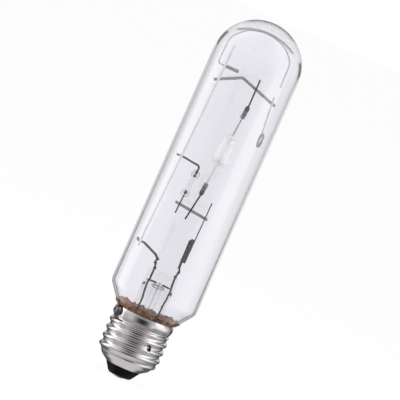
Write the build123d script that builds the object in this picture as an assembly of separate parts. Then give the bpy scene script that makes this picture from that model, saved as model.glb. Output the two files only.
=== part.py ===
from build123d import *
from math import asin, cos, degrees, radians, sin, sqrt
import os

# Tubular metal halide lamp: clear outer bulb on a screw cap, with a ceramic arc tube in a wire mount.
# The origin is the bottom of the centre contact on the lamp's axis. +Z runs up to the dome, X runs
# across the wire mount and -Y is the side from which the mount is seen. All sizes are millimetres.

# Clearances between pieces that are welded, sealed or soldered to each other
weld_gap = 0.02
seal_gap = 0.02

# Screw shell, rolled from thin plated sheet
thread_crest_radius = 13.1
thread_root_radius = 12.13
thread_pitch = 25.4 / 7
thread_turns = 4.6
thread_start_angle = -90.0
thread_start_height = 7.6
thread_foot_half = 1.4
thread_shoulder_half = 0.8
thread_shoulder_radius = 12.78
thread_crest_half = 0.3
thread_full_height = 10.8
thread_end_height = 22.3
thread_sink = 0.2
thread_land_rise = 0.05
punch_angle = -55.9
punch_height = 16.6
punch_radius = 0.75
punch_depth = 0.2
shell_wall = 0.3
shell_lip_radius = 7.5
shell_lip_height = 4.9
shell_knee_radius = 10.4
shell_knee_height = 6.8
shell_hip_radius = 11.45
shell_hip_height = 8.6
shell_thread_height = 9.9
shell_skirt_height = 23.4
shell_skirt_radius = 12.85
shell_skirt_rise = 0.7
shell_rim_height = 27.9

# Black glass insulator and the centre contact
insulator_bottom_radius = 4.8
insulator_bottom_height = 1.0
insulator_edge_step = 0.12
insulator_top_height = 7.6
contact_radius = 4.6
contact_edge = 0.25
contact_dish = 0.35
contact_hole_radius = 0.6
contact_solder_radius = 2.6
contact_solder_flat = 1.4

# Outer bulb
bulb_radius = 18.8
bulb_wall = 1.4
neck_radius = 10.6
neck_bottom = 14.6
neck_top = 26.8
ledge_radius = 13.1
ledge_height = 28.5
shoulder_height = 36.0
dome_height = 139.6
crown_thickness = 3.7
crown_flatness = 4.5
crown_blend = 5.0
shoulder_bend = 5.0

# Stem inside the neck
stem_radius = 6.8
stem_wall = 0.9
flare_top = 20.0
flare_straight = 1.0
flare_edge = 2.0
taper_bottom = 36.6
press_bottom = 42.1
press_top = 46.7
press_half_depth = 2.1
press_chamfer = 0.5
hollow_half_depth = 0.8
exhaust_radius = 2.0
exhaust_bore = 1.0
exhaust_tip = 11.8

# Lead-in wires, across and up
lead_diameter = 0.75
lead_knob_diameter = 1.3
lead_bottom = 13.0
left_lead_route = ((-4.75, 51.65), (-5.2, 49.75), (-4.35, 47.6), (-4.4, 41.9), (-4.8, 40.2), (-4.1, 33.0))
right_lead_route = ((4.7, 51.75), (5.5, 49.65), (4.85, 47.3), (4.95, 43.7), (5.4, 40.2), (4.6, 29.0))
lead_knob_bottom = 46.8
lead_knob_top = 47.25
tail_diameter = 0.35
tail_drop = 0.4
tail_level = 12.2
tail_radius = 11.2
tail_rim_gap = 0.14
tail_rise_end = 26.3
tail_turn = 0.7
tail_rim_height = 27.3
tail_end_height = 26.0

# Solder on the rim, a flattened drop
solder_angle = 210.7
solder_height = 25.75
solder_proud = 1.5
solder_drop_radius = 2.6

# Basing cement
cement_bottom = 19.5
crust_top = 29.3
crust_thickness = 0.25

# Frame rod and the arm below it; insets are measured in from the bulb's side
rod_diameter = 1.0
rod_depth = -6.0
rod_foot_inset = 4.7
rod_foot_height = 53.4
rod_top_inset = 7.85
rod_rise = 4.5
arm_diameter = 1.0
arm_bend = 1.0
arm_heel_x = -6.2
arm_heel_height = 52.45
arm_end_x = -4.45
arm_end_height = 50.7
arm_rod_height = 55.35
arm_overhang = 1.3
arm_run = 1.6
arm_heel_depth = -1.3
arm_hook = 1.2
arm_hook_bend = 0.6

# Dome bow and its strap
bow_diameter = 0.6
bow_foot_drop = 4.75
bow_foot_reach = 3.7
bow_left_inset = 4.3
bow_right_inset = 5.8
bow_right_drop = 3.75
bow_ball_diameter = 0.95
bow_dome_gap = 1.3
bow_right_depth = 0.7
bow_side_inset = 7.1
bow_foot_bend = 1.2
strap_height = 1.4
strap_thickness = 0.35
strap_overhang = 0.5
strap_length = 6.5

# Arc tube on its own leaning axis
light_centre_x = 2.45
light_centre = 102.6
arc_lean = 4.73
arc_radius = 3.5
arc_half_length = 4.7
arc_end_length = 2.3
arc_wall = 0.95
arc_end_bend = 2.2
leg_radius = 1.4
leg_half_span = 18.8
seal_length = 3.7
seal_bore_radius = 0.8
bead_length = 1.8
bead_round = 0.6
electrode_diameter = 0.6
electrode_gap = 7.0
electrode_coil_diameter = 1.1
electrode_coil_length = 1.7
niobium_diameter = 0.66
upper_niobium_x = 4.2
upper_niobium_top = 135.1
lower_niobium_x = -1.05
lower_niobium_bottom = 70.5

# Crossbars
bar_height = 1.2
bar_thickness = 0.35
upper_bar_overhang = 1.6
upper_bar_left_height = 128.0
upper_bar_bend_x = -2.55
upper_bar_bend_height = 133.1
upper_bar_knee_x = 12.3
upper_bar_knee_height = 128.0
upper_bar_right_x = 14.4
upper_bar_right_height = 127.4
bar_bend = 1.6
bar_knee_bend = 3.2
lower_bar_left_x = -7.55
lower_bar_left_height = 75.5
lower_bar_right_x = 7.5
lower_bar_right_height = 73.8

# Right-hand post, thin rod and getter strip
post_diameter = 1.05
post_bottom_x = 4.75
post_bottom = 50.85
post_top_x = 4.45
post_top = 63.35
thin_rod_diameter = 0.5
thin_rod_ball_diameter = 0.75
thin_rod_top_x = 6.45
thin_rod_top = 80.5
thin_rod_bottom_x = 6.0
thin_rod_bottom = 53.95
strip_left_x = 4.05
strip_right_x = 6.28
strip_bottom = 53.75
strip_top = 64.2
strip_notch_width = 0.75
strip_notch_height = 1.2
strip_thickness = 0.3

# Upper getter ring on its wire
getter_wire_diameter = 0.5
getter_wire_top_x = 12.3
getter_wire_top = 130.8
getter_wire_bottom_x = 13.6
getter_wire_bottom = 116.4
ring_radius = 2.75
ring_section = 0.9
ring_width = 1.1
ring_wall = 0.2
ring_floor = 0.25
ring_offset = 0.3
ring_swing = 14.0

# Ignition aid capsule on its own leaning axis
capsule_bottom_x = -5.42
capsule_bottom = 78.95
capsule_lean = 5.3
capsule_length = 11.6
capsule_radius = 1.18
capsule_bore = 0.7
capsule_bead_radius = 1.65
capsule_bead_length = 2.3
capsule_bead_round = 0.8
capsule_end_wall = 2.6
feed_diameter = 0.75
feed_inside = 3.6
feed_corner_rise = 2.3
feed_bend = 1.4
feed_middle_x = -7.2
feed_middle_height = 93.1
feed_middle_depth = -1.9
feed_rod_height = 93.9
feed_overhang = 2.1
feed_run = 1.2
earth_diameter = 0.6
earth_inside = 3.6
earth_straight = 0.8
earth_bottom_x = -5.8
earth_bottom = 71.2


def parallel(points, distance):
    """Corners of the line that keeps a distance to the left of a line through flat points."""
    corners = [Vector(*point) for point in points]
    runs = [(after - before).normalized() for before, after in zip(corners, corners[1:])]
    sides = [Vector(-run.Y, run.X) for run in runs]
    pairs = zip(corners, sides[:1] + sides, sides + sides[-1:])
    return [corner + (one + two) * (distance / (1 + one.dot(two))) for corner, one, two in pairs]


def bent(points, bends, distance=0.0):
    """Line with rounded corners that keeps a distance to the left of a line through flat points."""
    corners = parallel(points, distance)
    turns = [(b - a).cross(c - b).Z for a, b, c in zip(corners, corners[1:], corners[2:])]
    closer = [bend - distance if turn > 0 else bend + distance for bend, turn in zip(bends, turns)]
    radii = [new if bend else 0 for bend, new in zip(bends, closer)]
    return FilletPolyline(*corners, radius=radii) if radii else Line(*corners)


def band(points, thickness, bends):
    """Flat outline of a wall with its outside on a bent line and its thickness to the line's left."""
    outside = bent(points, bends)
    inside = bent(points, bends, thickness)
    ends = [Line(outside @ 0, inside @ 0), Line(outside @ 1, inside @ 1)]
    return make_face([*outside.edges(), *inside.edges(), *ends])


def turned(outline):
    """Solid of revolution about Z of a face drawn as (radius, height)."""
    return revolve(Plane.XZ * outline, Axis.Z)


def turned_polygon(*points):
    """Solid of revolution about Z of a straight-sided outline drawn as (radius, height)."""
    return turned(make_face(Polyline(*points, close=True)))


def wire(diameter, route, bends=None):
    """Round wire along straight runs that are joined by bends, or by plain kinks."""
    path = FilletPolyline(*route, radius=bends) if bends else Polyline(*route)
    section = Plane(path @ 0, z_dir=path % 0) * Circle(diameter / 2)
    return sweep(section, path, transition=Transition.RIGHT)


def ball(diameter, centre):
    """Ball of molten metal at the end of a wire or on a weld."""
    return Pos(*centre) * Sphere(diameter / 2)


def facing(origin, across):
    """Upright plane through a point, drawn as (across, up) and facing the front of the lamp."""
    run = Vector(across).normalized()
    return Plane(origin, x_dir=run, z_dir=run.cross(Vector(0, 0, 1)))


def at_height(start, end, height):
    """Radius or x at a height on the straight line between two (across, up) points."""
    return start[0] + (end[0] - start[0]) * (height - start[1]) / (end[1] - start[1])


# Depths, worked out from the leads in the press to the pieces welded in front of each other
lead_depth = 0.0
bar_front = lead_depth - lead_diameter / 2
post_depth = bar_front - post_diameter / 2 - weld_gap
thin_rod_depth = bar_front - thin_rod_diameter / 2 - weld_gap
niobium_depth = bar_front - niobium_diameter / 2 - weld_gap
earth_depth = bar_front - earth_diameter / 2 - weld_gap
rod_back = rod_depth + rod_diameter / 2 + weld_gap

# Lines that several pieces share, drawn as (radius, height) or, for the rod, as (across, up)
bulb_line = (
    (neck_radius, neck_bottom),
    (neck_radius, neck_top),
    (ledge_radius, ledge_height),
    (bulb_radius, shoulder_height),
    (bulb_radius, dome_height),
)
bulb_bends = (0, 0, shoulder_bend)
thread_core_radius = thread_root_radius + thread_land_rise
shell_line = (
    (shell_lip_radius, shell_lip_height),
    (shell_knee_radius, shell_knee_height),
    (shell_hip_radius, shell_hip_height),
    (thread_core_radius, shell_thread_height),
    (thread_core_radius, shell_skirt_height),
    (shell_skirt_radius, shell_skirt_height + shell_skirt_rise),
    (shell_skirt_radius, shell_rim_height),
)
shell_bore = parallel(shell_line, shell_wall + seal_gap)
rod_foot = (rod_foot_inset - bulb_radius, rod_foot_height)
rod_top = (rod_top_inset - bulb_radius, dome_height + rod_rise)
bow_foot_height = dome_height - bow_foot_drop
bow_cross = at_height(rod_foot, rod_top, bow_foot_height)
crown_radius = bulb_radius + crown_flatness
crown_centre = dome_height + bulb_radius - crown_thickness - crown_radius

# Leaning axes of the arc tube and of the ignition capsule
arc_lean_angle = radians(arc_lean)
arc_axis = Vector(sin(arc_lean_angle), 0, cos(arc_lean_angle))
arc_middle = Vector(light_centre_x, niobium_depth, light_centre)
arc_plane = Plane(arc_middle, z_dir=arc_axis)
capsule_lean_angle = radians(capsule_lean)
capsule_axis = Vector(sin(capsule_lean_angle), 0, cos(capsule_lean_angle))
capsule_foot = Vector(capsule_bottom_x, earth_depth, capsule_bottom)
capsule_plane = Plane(capsule_foot, z_dir=capsule_axis)


def outer_bulb():
    """Blown bulb: an even wall up to the dome, and a crown that is thicker than the wall."""
    inner_radius = bulb_radius - bulb_wall
    drop = dome_height - crown_centre
    rise = (crown_radius**2 - drop**2 - inner_radius**2) / (2 * drop)
    meeting = (sqrt(inner_radius**2 - rise**2), dome_height + rise)
    side_angle = degrees(asin(rise / inner_radius))
    crown_angle = degrees(asin((rise + drop) / crown_radius))
    outline = make_face(
        [
            CenterArc((0, dome_height), bulb_radius, 0, 90),
            Line((0, dome_height + bulb_radius), (0, crown_centre + crown_radius)),
            CenterArc((0, crown_centre), crown_radius, crown_angle, 90 - crown_angle),
            CenterArc((0, dome_height), inner_radius, 0, side_angle),
            Line((inner_radius, dome_height), (bulb_radius, dome_height)),
        ]
    )
    corner = outline.vertices().sort_by_distance(meeting)[0]
    dome = turned(fillet(corner, crown_blend))
    return turned(band(bulb_line, bulb_wall, bulb_bends)) + dome


def pinched(radius, half):
    """Round bar pinched from front and back to a half outline drawn as (half depth, height)."""
    outline = Polyline(*half, *[(-depth, height) for depth, height in reversed(half)], close=True)
    bottom = half[0][1]
    top = half[-1][1]
    bar = Pos(0, 0, (bottom + top) / 2) * Cylinder(radius, top - bottom)
    return bar & extrude(Plane.YZ * make_face(outline), radius, both=True)


def stem_glass():
    """Stem: flared tube sealed to the neck, flat press round the leads, and exhaust tube with its tip."""
    bore_radius = stem_radius - stem_wall
    flare_line = (
        (bore_radius, flare_top),
        (bore_radius, flare_top - flare_straight),
        (neck_radius - flare_edge, neck_bottom - stem_wall),
        (neck_radius, neck_bottom - stem_wall),
    )
    flare = turned(band(flare_line, stem_wall, (0, 0)))
    outside = (
        (stem_radius, flare_top),
        (stem_radius, taper_bottom),
        (press_half_depth, press_bottom),
        (press_half_depth, press_top),
    )
    hollow = ((bore_radius, flare_top), (bore_radius, taper_bottom), (hollow_half_depth, press_bottom))
    body = pinched(stem_radius, outside)
    body = chamfer(body.edges().group_by(Axis.Z)[-1], press_chamfer)
    body -= pinched(bore_radius, hollow)
    tip_centre = exhaust_tip + exhaust_radius
    bore_length = press_bottom - tip_centre
    middle = Pos(0, 0, tip_centre + bore_length / 2)
    exhaust = middle * Cylinder(exhaust_radius, bore_length) + ball(2 * exhaust_radius, (0, 0, tip_centre))
    glass = body + flare + exhaust - middle * Cylinder(exhaust_bore, bore_length)
    for route in (left_lead_route, right_lead_route):
        glass -= wire(lead_diameter + 2 * seal_gap, lead_path(route))
    return glass


def lead_path(route):
    """Lead route in the plane of the press, with its lower end straight down to the tails."""
    points = [(x, lead_depth, height) for x, height in route]
    return [*points, (route[-1][0], lead_depth, lead_bottom)]


def lead(route):
    """Lead-in wire with the knob of its butt weld just above the press."""
    heights = (lead_knob_bottom, lead_knob_top)
    ends = [(at_height(route[2], route[3], height), lead_depth, height) for height in heights]
    return wire(lead_diameter, lead_path(route)) + wire(lead_knob_diameter, ends)


def side_tail_route():
    """Route of the side tail: under the flare, up between neck and shell, out by the notch and down."""
    angle = radians(solder_angle)
    start_x = left_lead_route[-1][0]
    outside = shell_skirt_radius + tail_diameter / 2 + tail_rim_gap
    rise = (
        (tail_radius, tail_level),
        (tail_radius, tail_rise_end),
        (shell_skirt_radius - tail_turn, tail_rim_height),
        (outside, tail_rim_height),
        (outside, tail_end_height),
    )
    inner = [(start_x, lead_depth, lead_bottom - weld_gap), (start_x, lead_depth, tail_level)]
    return [*inner, *[(radius * cos(angle), radius * sin(angle), height) for radius, height in rise]]


def side_contact_wire():
    """Outer lead from the left lead to the solder on the rim."""
    return wire(tail_diameter, side_tail_route())


def centre_contact_wire():
    """Outer lead: in under the exhaust tip and down through the insulator into the centre solder."""
    start_x = right_lead_route[-1][0]
    route = [
        (start_x, lead_depth, lead_bottom - weld_gap),
        (start_x, lead_depth, tail_level),
        (0, lead_depth, insulator_top_height + tail_drop),
        (0, lead_depth, contact_dish),
    ]
    return wire(tail_diameter, route)


def thread_ridge():
    """Right-hand ridge of the screw thread: ruled faces between helices, trimmed to fade at both ends."""
    half = (
        (thread_core_radius - thread_sink, thread_foot_half),
        (thread_core_radius, thread_foot_half),
        (thread_shoulder_radius, thread_shoulder_half),
        (thread_crest_radius, thread_crest_half),
    )
    corners = [*half, *[(radius, -height) for radius, height in reversed(half)]]
    place = Rot(0, 0, thread_start_angle) * Pos(0, 0, thread_start_height)
    rise = thread_turns * thread_pitch
    helices = [place * Pos(0, 0, height) * Helix(thread_pitch, rise, radius) for radius, height in corners]
    faces = [Face.make_surface_from_curves(a, b) for a, b in zip(helices, helices[1:] + helices[:1])]
    starts = make_face(Polyline(*[helix @ 0 for helix in helices], close=True))
    ends = make_face(Polyline(*[helix @ 1 for helix in helices], close=True))
    ridge = Solid(Shell([*faces, *starts.faces(), *ends.faces()]))
    limit = turned_polygon(
        (0, shell_hip_height),
        (shell_hip_radius, shell_hip_height),
        (thread_crest_radius + thread_sink, thread_full_height),
        (thread_crest_radius + thread_sink, thread_end_height),
        (thread_core_radius, shell_skirt_height),
        (0, shell_skirt_height),
    )
    return ridge & limit


def cap_shell():
    """Screw shell: one rolled sheet from lip to rim, with its thread, a punch mark and the tail's notch."""
    sheet = turned(band(shell_line, shell_wall, (0,) * (len(shell_line) - 2)))
    middle = thread_core_radius - punch_depth + punch_radius
    punch = Pos(middle, 0, punch_height) * Rot(0, 90, 0) * Cylinder(punch_radius, 2 * punch_radius)
    notch_width = tail_diameter + 2 * weld_gap
    notch_depth = shell_rim_height - tail_rim_height + notch_width / 2
    notch = Pos(shell_skirt_radius, 0, shell_rim_height) * Box(4 * shell_wall, notch_width, 2 * notch_depth)
    return sheet + thread_ridge() - Rot(0, 0, punch_angle) * punch - Rot(0, 0, solder_angle) * notch


def cap_insulator():
    """Black glass: a cone below the shell's lip that also fills the shell's shoulder inside."""
    hole = tail_diameter / 2 + seal_gap
    return turned_polygon(
        (hole, insulator_bottom_height),
        (insulator_bottom_radius, insulator_bottom_height),
        (shell_lip_radius - insulator_edge_step, shell_lip_height - insulator_edge_step),
        shell_bore[0],
        shell_bore[1],
        (at_height(tuple(shell_bore[1]), tuple(shell_bore[2]), insulator_top_height), insulator_top_height),
        (hole, insulator_top_height),
    )


def centre_contact():
    """Tinned contact disc, dished round its hole."""
    top = insulator_bottom_height - seal_gap
    return turned_polygon(
        (contact_hole_radius, top),
        (contact_radius, top),
        (contact_radius, top - contact_edge),
        (contact_solder_radius, contact_dish),
        (contact_hole_radius, contact_dish),
    )


def centre_solder():
    """Solder drop over the contact's hole, with the small flat that it is pressed to."""
    wire_end = contact_dish - weld_gap
    return turned_polygon((0, 0), (contact_solder_flat, 0), (contact_solder_radius, wire_end), (0, wire_end))


def crust_edge():
    """Outer top edge of the cement that was squeezed up the glass above the rim."""
    on_glass = Vector(at_height(bulb_line[2], bulb_line[3], crust_top), crust_top)
    return on_glass, parallel((bulb_line[2], on_glass), -crust_thickness)[1]


def basing_cement():
    """Cement ring between neck and shell, with the crust that stands above the rim."""
    on_glass, edge = crust_edge()
    glass_side = parallel(((neck_radius, cement_bottom), *bulb_line[1:3], on_glass), -seal_gap)
    shell_side = (edge, *shell_bore[:-4:-1], (shell_bore[-3].X, cement_bottom))
    ring = turned_polygon(*glass_side, *shell_side)
    return ring - wire(tail_diameter + 2 * seal_gap, side_tail_route())


def side_solder():
    """Drop of solder over the rim, lying on the shell and the cement."""
    edge = crust_edge()[1]
    angle = radians(solder_angle)
    reach = shell_skirt_radius + solder_proud - solder_drop_radius
    drop = ball(2 * solder_drop_radius, (reach * cos(angle), reach * sin(angle), solder_height))
    outside = parallel(shell_line, -weld_gap)
    over = shell_rim_height + weld_gap
    inside = turned_polygon(
        (0, shell_hip_height),
        (outside[4].X, shell_hip_height),
        outside[4],
        outside[5],
        (outside[6].X, over),
        (shell_bore[-1].X + 2 * weld_gap, over),
        (edge.X + 2 * weld_gap, edge.Y),
        (bulb_radius, shoulder_height),
        (0, shoulder_height),
    )
    return drop - inside - wire(tail_diameter + 2 * weld_gap, side_tail_route())


def lower_arm():
    """Stiff bent wire: welded in front of the left lead, and behind the rod, with a turned-up end."""
    cross = at_height(rod_foot, rod_top, arm_rod_height)
    depth = rod_back + arm_diameter / 2
    end_depth = lead_depth - (lead_diameter + arm_diameter) / 2 - weld_gap
    route = [
        (cross - arm_overhang, depth, arm_rod_height + arm_hook),
        (cross - arm_overhang, depth, arm_rod_height),
        (cross + arm_run, depth, arm_rod_height),
        (arm_heel_x, arm_heel_depth, arm_heel_height),
        (arm_end_x, end_depth, arm_end_height),
    ]
    return wire(arm_diameter, route, (arm_hook_bend, arm_bend, arm_bend))


def frame_rod():
    """Straight nickel rod that leans in towards the dome."""
    return wire(rod_diameter, [(x, rod_depth, height) for x, height in (rod_foot, rod_top)])


def dome_bow():
    """Spring wire: a foot behind the strap, an arch under the crown and a free leg with a balled end."""
    foot_depth = rod_back + strap_thickness + weld_gap + bow_diameter / 2
    left = bow_left_inset - bulb_radius
    right = bulb_radius - bow_right_inset
    top = dome_height + bulb_radius - crown_thickness - bow_dome_gap
    end = (right, bow_right_depth, dome_height - bow_right_drop)
    route = [
        (bow_cross + bow_foot_reach, foot_depth, bow_foot_height),
        (left, foot_depth, bow_foot_height),
        (left, foot_depth, top),
        (right, bow_right_depth, top),
        end,
    ]
    side_bend = bulb_radius - bow_side_inset
    bends = (bow_foot_bend, side_bend, side_bend)
    return wire(bow_diameter, route, bends) + ball(bow_ball_diameter, end)


def bow_strap():
    """Short strip behind the rod that the bow's foot is welded to."""
    middle = bow_cross - strap_overhang + strap_length / 2
    plane = facing((middle, rod_back, bow_foot_height), (1, 0, 0))
    return extrude(plane * Rectangle(strap_length, strap_height), -strap_thickness)


def upper_bar_plane():
    """Upright plane of the upper crossbar's front face, touching the backs of the rod and the lead."""
    rod_point = Vector(at_height(rod_foot, rod_top, upper_bar_left_height), rod_depth)
    lead_point = Vector(upper_niobium_x, niobium_depth)
    back = (lead_point - rod_point).normalized().rotate(Axis.Z, 90)
    rod_touch = rod_point + back * (rod_diameter / 2 + weld_gap)
    lead_touch = lead_point + back * (niobium_diameter / 2 + weld_gap)
    return facing(lead_touch, lead_touch - rod_touch)


def upper_crossbar():
    """Bent strip from behind the rod, over the arc tube's upper lead, to the getter wire."""
    plane = upper_bar_plane()
    reach = 1 / plane.x_dir.X
    cross = at_height(rod_foot, rod_top, upper_bar_left_height)
    places = (
        (cross - upper_bar_overhang, upper_bar_left_height),
        (upper_bar_bend_x, upper_bar_bend_height),
        (upper_bar_knee_x, upper_bar_knee_height),
        (upper_bar_right_x, upper_bar_right_height),
    )
    points = [((x - upper_niobium_x) * reach, height) for x, height in places]
    strip = band(parallel(points, -bar_height / 2), bar_height, (bar_bend, bar_knee_bend))
    return extrude(plane * strip, -bar_thickness)


def lower_crossbar():
    """Straight strip behind the lower lead, the ignition aid's wire and the thin rod."""
    points = ((lower_bar_left_x, lower_bar_left_height), (lower_bar_right_x, lower_bar_right_height))
    strip = band(parallel(points, -bar_height / 2), bar_height, ())
    return extrude(facing((0, bar_front, 0), (1, 0, 0)) * strip, -bar_thickness)


def right_post():
    """Thick stub welded in front of the right lead."""
    bottom = (post_bottom_x, post_depth, post_bottom)
    return wire(post_diameter, [bottom, (post_top_x, post_depth, post_top)])


def right_rod():
    """Thin rod from the getter strip up past the lower crossbar, with a balled top."""
    top = (thin_rod_top_x, thin_rod_depth, thin_rod_top)
    bottom = (thin_rod_bottom_x, thin_rod_depth, thin_rod_bottom)
    return wire(thin_rod_diameter, [bottom, top]) + ball(thin_rod_ball_diameter, top)


def getter_strip():
    """Flat getter strip behind the post and the thin rod, with one corner cut away."""
    outline = Polyline(
        (strip_left_x, strip_bottom),
        (strip_right_x, strip_bottom),
        (strip_right_x, strip_top),
        (strip_left_x + strip_notch_width, strip_top),
        (strip_left_x, strip_top - strip_notch_height),
        close=True,
    )
    return extrude(facing((0, bar_front, 0), (1, 0, 0)) * make_face(outline), -strip_thickness)


def getter_wire_route():
    """Getter wire's route, in front of the upper crossbar's end."""
    plane = upper_bar_plane()
    clear = plane.z_dir * (getter_wire_diameter / 2 + weld_gap)
    touch = plane.origin + plane.x_dir * ((upper_bar_knee_x - upper_niobium_x) / plane.x_dir.X) + clear
    return [
        (getter_wire_top_x, touch.Y, getter_wire_top),
        (getter_wire_bottom_x, touch.Y, getter_wire_bottom),
    ]


def getter_wire():
    """Thin wire that carries the getter ring."""
    return wire(getter_wire_diameter, getter_wire_route())


def getter_ring():
    """Small ring getter: a pressed channel, seen almost edge on, under its wire."""
    outer = ring_radius + ring_section / 2
    inner = ring_radius - ring_section / 2
    half = ring_width / 2
    channel = turned_polygon(
        (inner, -half),
        (outer, -half),
        (outer, half),
        (outer - ring_wall, half),
        (outer - ring_wall, ring_floor - half),
        (inner + ring_wall, ring_floor - half),
        (inner + ring_wall, half),
        (inner, half),
    )
    bottom = Vector(*getter_wire_route()[1])
    swing = radians(ring_swing)
    centre = bottom + Vector(ring_offset, 0, -outer - getter_wire_diameter / 2)
    return Plane(centre, x_dir=(0, 0, 1), z_dir=(-cos(swing), -sin(swing), 0)) * channel


def arc_tube():
    """Ceramic arc tube: a barrel with tapered ends drawn down to two capillary legs."""
    end = arc_half_length + arc_end_length
    line = (
        (leg_radius, -leg_half_span),
        (leg_radius, -end),
        (arc_radius, -arc_half_length),
        (arc_radius, arc_half_length),
        (leg_radius, end),
        (leg_radius, leg_half_span),
    )
    bends = (0, arc_end_bend, arc_end_bend, 0)
    ceramic = arc_plane * turned(band(line, arc_wall, bends))
    for side in (-1, 1):
        seat = Pos(0, 0, side * (leg_half_span - seal_length / 2)) * Cylinder(seal_bore_radius, seal_length)
        ceramic -= arc_plane * seat
    return ceramic


def frit_seal(side):
    """Glass frit that fills the end of a leg round the lead and stands out of it as a bead."""
    hole = niobium_diameter / 2 + seal_gap
    inside = leg_half_span - seal_length + seal_gap
    face = leg_half_span + seal_gap
    plug = seal_bore_radius - seal_gap
    bead = turned_polygon(
        (hole, side * inside),
        (plug, side * inside),
        (plug, side * face),
        (leg_radius, side * face),
        (leg_radius, side * (face + bead_round)),
        (hole, side * (face + bead_length)),
    )
    return arc_plane * bead


def electrode(side):
    """Electrode rod in a leg, ending in a coil inside the arc tube."""
    outer = side * (leg_half_span - seal_length)
    tip = side * electrode_gap / 2
    coil = tip + side * electrode_coil_length
    ends = [arc_middle + arc_axis * place for place in (outer, tip, coil)]
    return wire(electrode_diameter, ends[:2]) + wire(electrode_coil_diameter, ends[1:])


def upper_niobium_lead():
    """Lead from the upper seal straight up past the crossbar."""
    inside = leg_half_span - seal_length + weld_gap
    out = leg_half_span + bead_length + niobium_diameter
    start = arc_middle + arc_axis * inside
    knee = arc_middle + arc_axis * out
    return wire(niobium_diameter, [start, knee, (upper_niobium_x, niobium_depth, upper_niobium_top)])


def lower_niobium_lead():
    """Lead from the lower seal down past the lower crossbar."""
    inside = leg_half_span - seal_length + weld_gap
    out = leg_half_span + bead_length + niobium_diameter
    start = arc_middle - arc_axis * inside
    knee = arc_middle - arc_axis * out
    return wire(niobium_diameter, [start, knee, (lower_niobium_x, niobium_depth, lower_niobium_bottom)])


def enhancer_capsule():
    """Ignition aid: a tiny glass tube with a bead fused round the wire at each end."""
    feed_hole = feed_diameter / 2 + seal_gap
    earth_hole = earth_diameter / 2 + seal_gap
    side = (
        (earth_hole, 0),
        (capsule_bead_radius, capsule_bead_round),
        (capsule_bead_radius, capsule_bead_length - capsule_bead_round),
        (capsule_radius, capsule_bead_length),
        (capsule_radius, capsule_length - capsule_bead_length),
        (capsule_bead_radius, capsule_length - capsule_bead_length + capsule_bead_round),
        (capsule_bead_radius, capsule_length - capsule_bead_round),
        (feed_hole, capsule_length),
    )
    bore = (
        (feed_hole, capsule_length - capsule_end_wall),
        (capsule_bore, capsule_length - capsule_end_wall),
        (capsule_bore, capsule_end_wall),
        (earth_hole, capsule_end_wall),
    )
    return capsule_plane * turned_polygon(*side, *bore)


def enhancer_feed_wire():
    """Wire from behind the rod, bent down into the top of the capsule."""
    cross = at_height(rod_foot, rod_top, feed_rod_height)
    depth = rod_back + feed_diameter / 2
    route = [
        capsule_foot + capsule_axis * (capsule_length - feed_inside),
        capsule_foot + capsule_axis * (capsule_length + feed_corner_rise),
        (feed_middle_x, feed_middle_depth, feed_middle_height),
        (cross + feed_run, depth, feed_rod_height),
        (cross - feed_overhang, depth, feed_rod_height),
    ]
    return wire(feed_diameter, route, (feed_bend, feed_bend, feed_bend))


def enhancer_lower_wire():
    """Wire from the bottom of the capsule down past the lower crossbar."""
    route = [
        capsule_foot + capsule_axis * earth_inside,
        capsule_foot - capsule_axis * earth_straight,
        (earth_bottom_x, earth_depth, earth_bottom),
    ]
    return wire(earth_diameter, route)


pieces = {
    "cap_shell": cap_shell(),
    "cap_insulator": cap_insulator(),
    "centre_contact": centre_contact(),
    "centre_solder": centre_solder(),
    "side_solder": side_solder(),
    "basing_cement": basing_cement(),
    "side_contact_wire": side_contact_wire(),
    "centre_contact_wire": centre_contact_wire(),
    "outer_bulb": outer_bulb(),
    "stem_glass": stem_glass(),
    "left_lead": lead(left_lead_route),
    "right_lead": lead(right_lead_route),
    "lower_arm": lower_arm(),
    "frame_rod": frame_rod(),
    "dome_bow": dome_bow(),
    "bow_strap": bow_strap(),
    "upper_crossbar": upper_crossbar(),
    "lower_crossbar": lower_crossbar(),
    "right_post": right_post(),
    "right_rod": right_rod(),
    "getter_strip": getter_strip(),
    "getter_wire": getter_wire(),
    "getter_ring": getter_ring(),
    "arc_tube": arc_tube(),
    "upper_frit_seal": frit_seal(1),
    "lower_frit_seal": frit_seal(-1),
    "upper_electrode": electrode(1),
    "lower_electrode": electrode(-1),
    "upper_niobium_lead": upper_niobium_lead(),
    "lower_niobium_lead": lower_niobium_lead(),
    "enhancer_capsule": enhancer_capsule(),
    "enhancer_feed_wire": enhancer_feed_wire(),
    "enhancer_lower_wire": enhancer_lower_wire(),
}

os.makedirs("parts", exist_ok=True)
for name, solid in pieces.items():
    export_step(solid, f"parts/{name}.step")
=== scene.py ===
import bmesh
import bpy
import numpy as np
from mathutils import Matrix, Vector


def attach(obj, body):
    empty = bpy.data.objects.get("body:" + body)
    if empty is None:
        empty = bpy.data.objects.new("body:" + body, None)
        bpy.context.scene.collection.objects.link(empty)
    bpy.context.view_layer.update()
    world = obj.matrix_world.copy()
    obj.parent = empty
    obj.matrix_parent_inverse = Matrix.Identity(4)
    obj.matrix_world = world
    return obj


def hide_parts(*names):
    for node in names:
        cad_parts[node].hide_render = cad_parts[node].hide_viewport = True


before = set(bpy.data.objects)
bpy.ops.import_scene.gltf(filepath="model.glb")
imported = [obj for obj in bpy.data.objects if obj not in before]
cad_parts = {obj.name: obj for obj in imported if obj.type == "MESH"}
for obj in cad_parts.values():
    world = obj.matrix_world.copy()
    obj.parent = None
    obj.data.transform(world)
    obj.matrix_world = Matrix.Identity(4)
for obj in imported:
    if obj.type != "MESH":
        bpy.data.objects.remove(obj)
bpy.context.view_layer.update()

# Stem: a flared glass tube, pinched flat round the two lead-in wires, with the thin exhaust tube inside it.
# Clear soft glass, drawn, flared on a wheel and pressed hot; its flare is sealed to the neck of the bulb.
MM = 0.001
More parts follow.
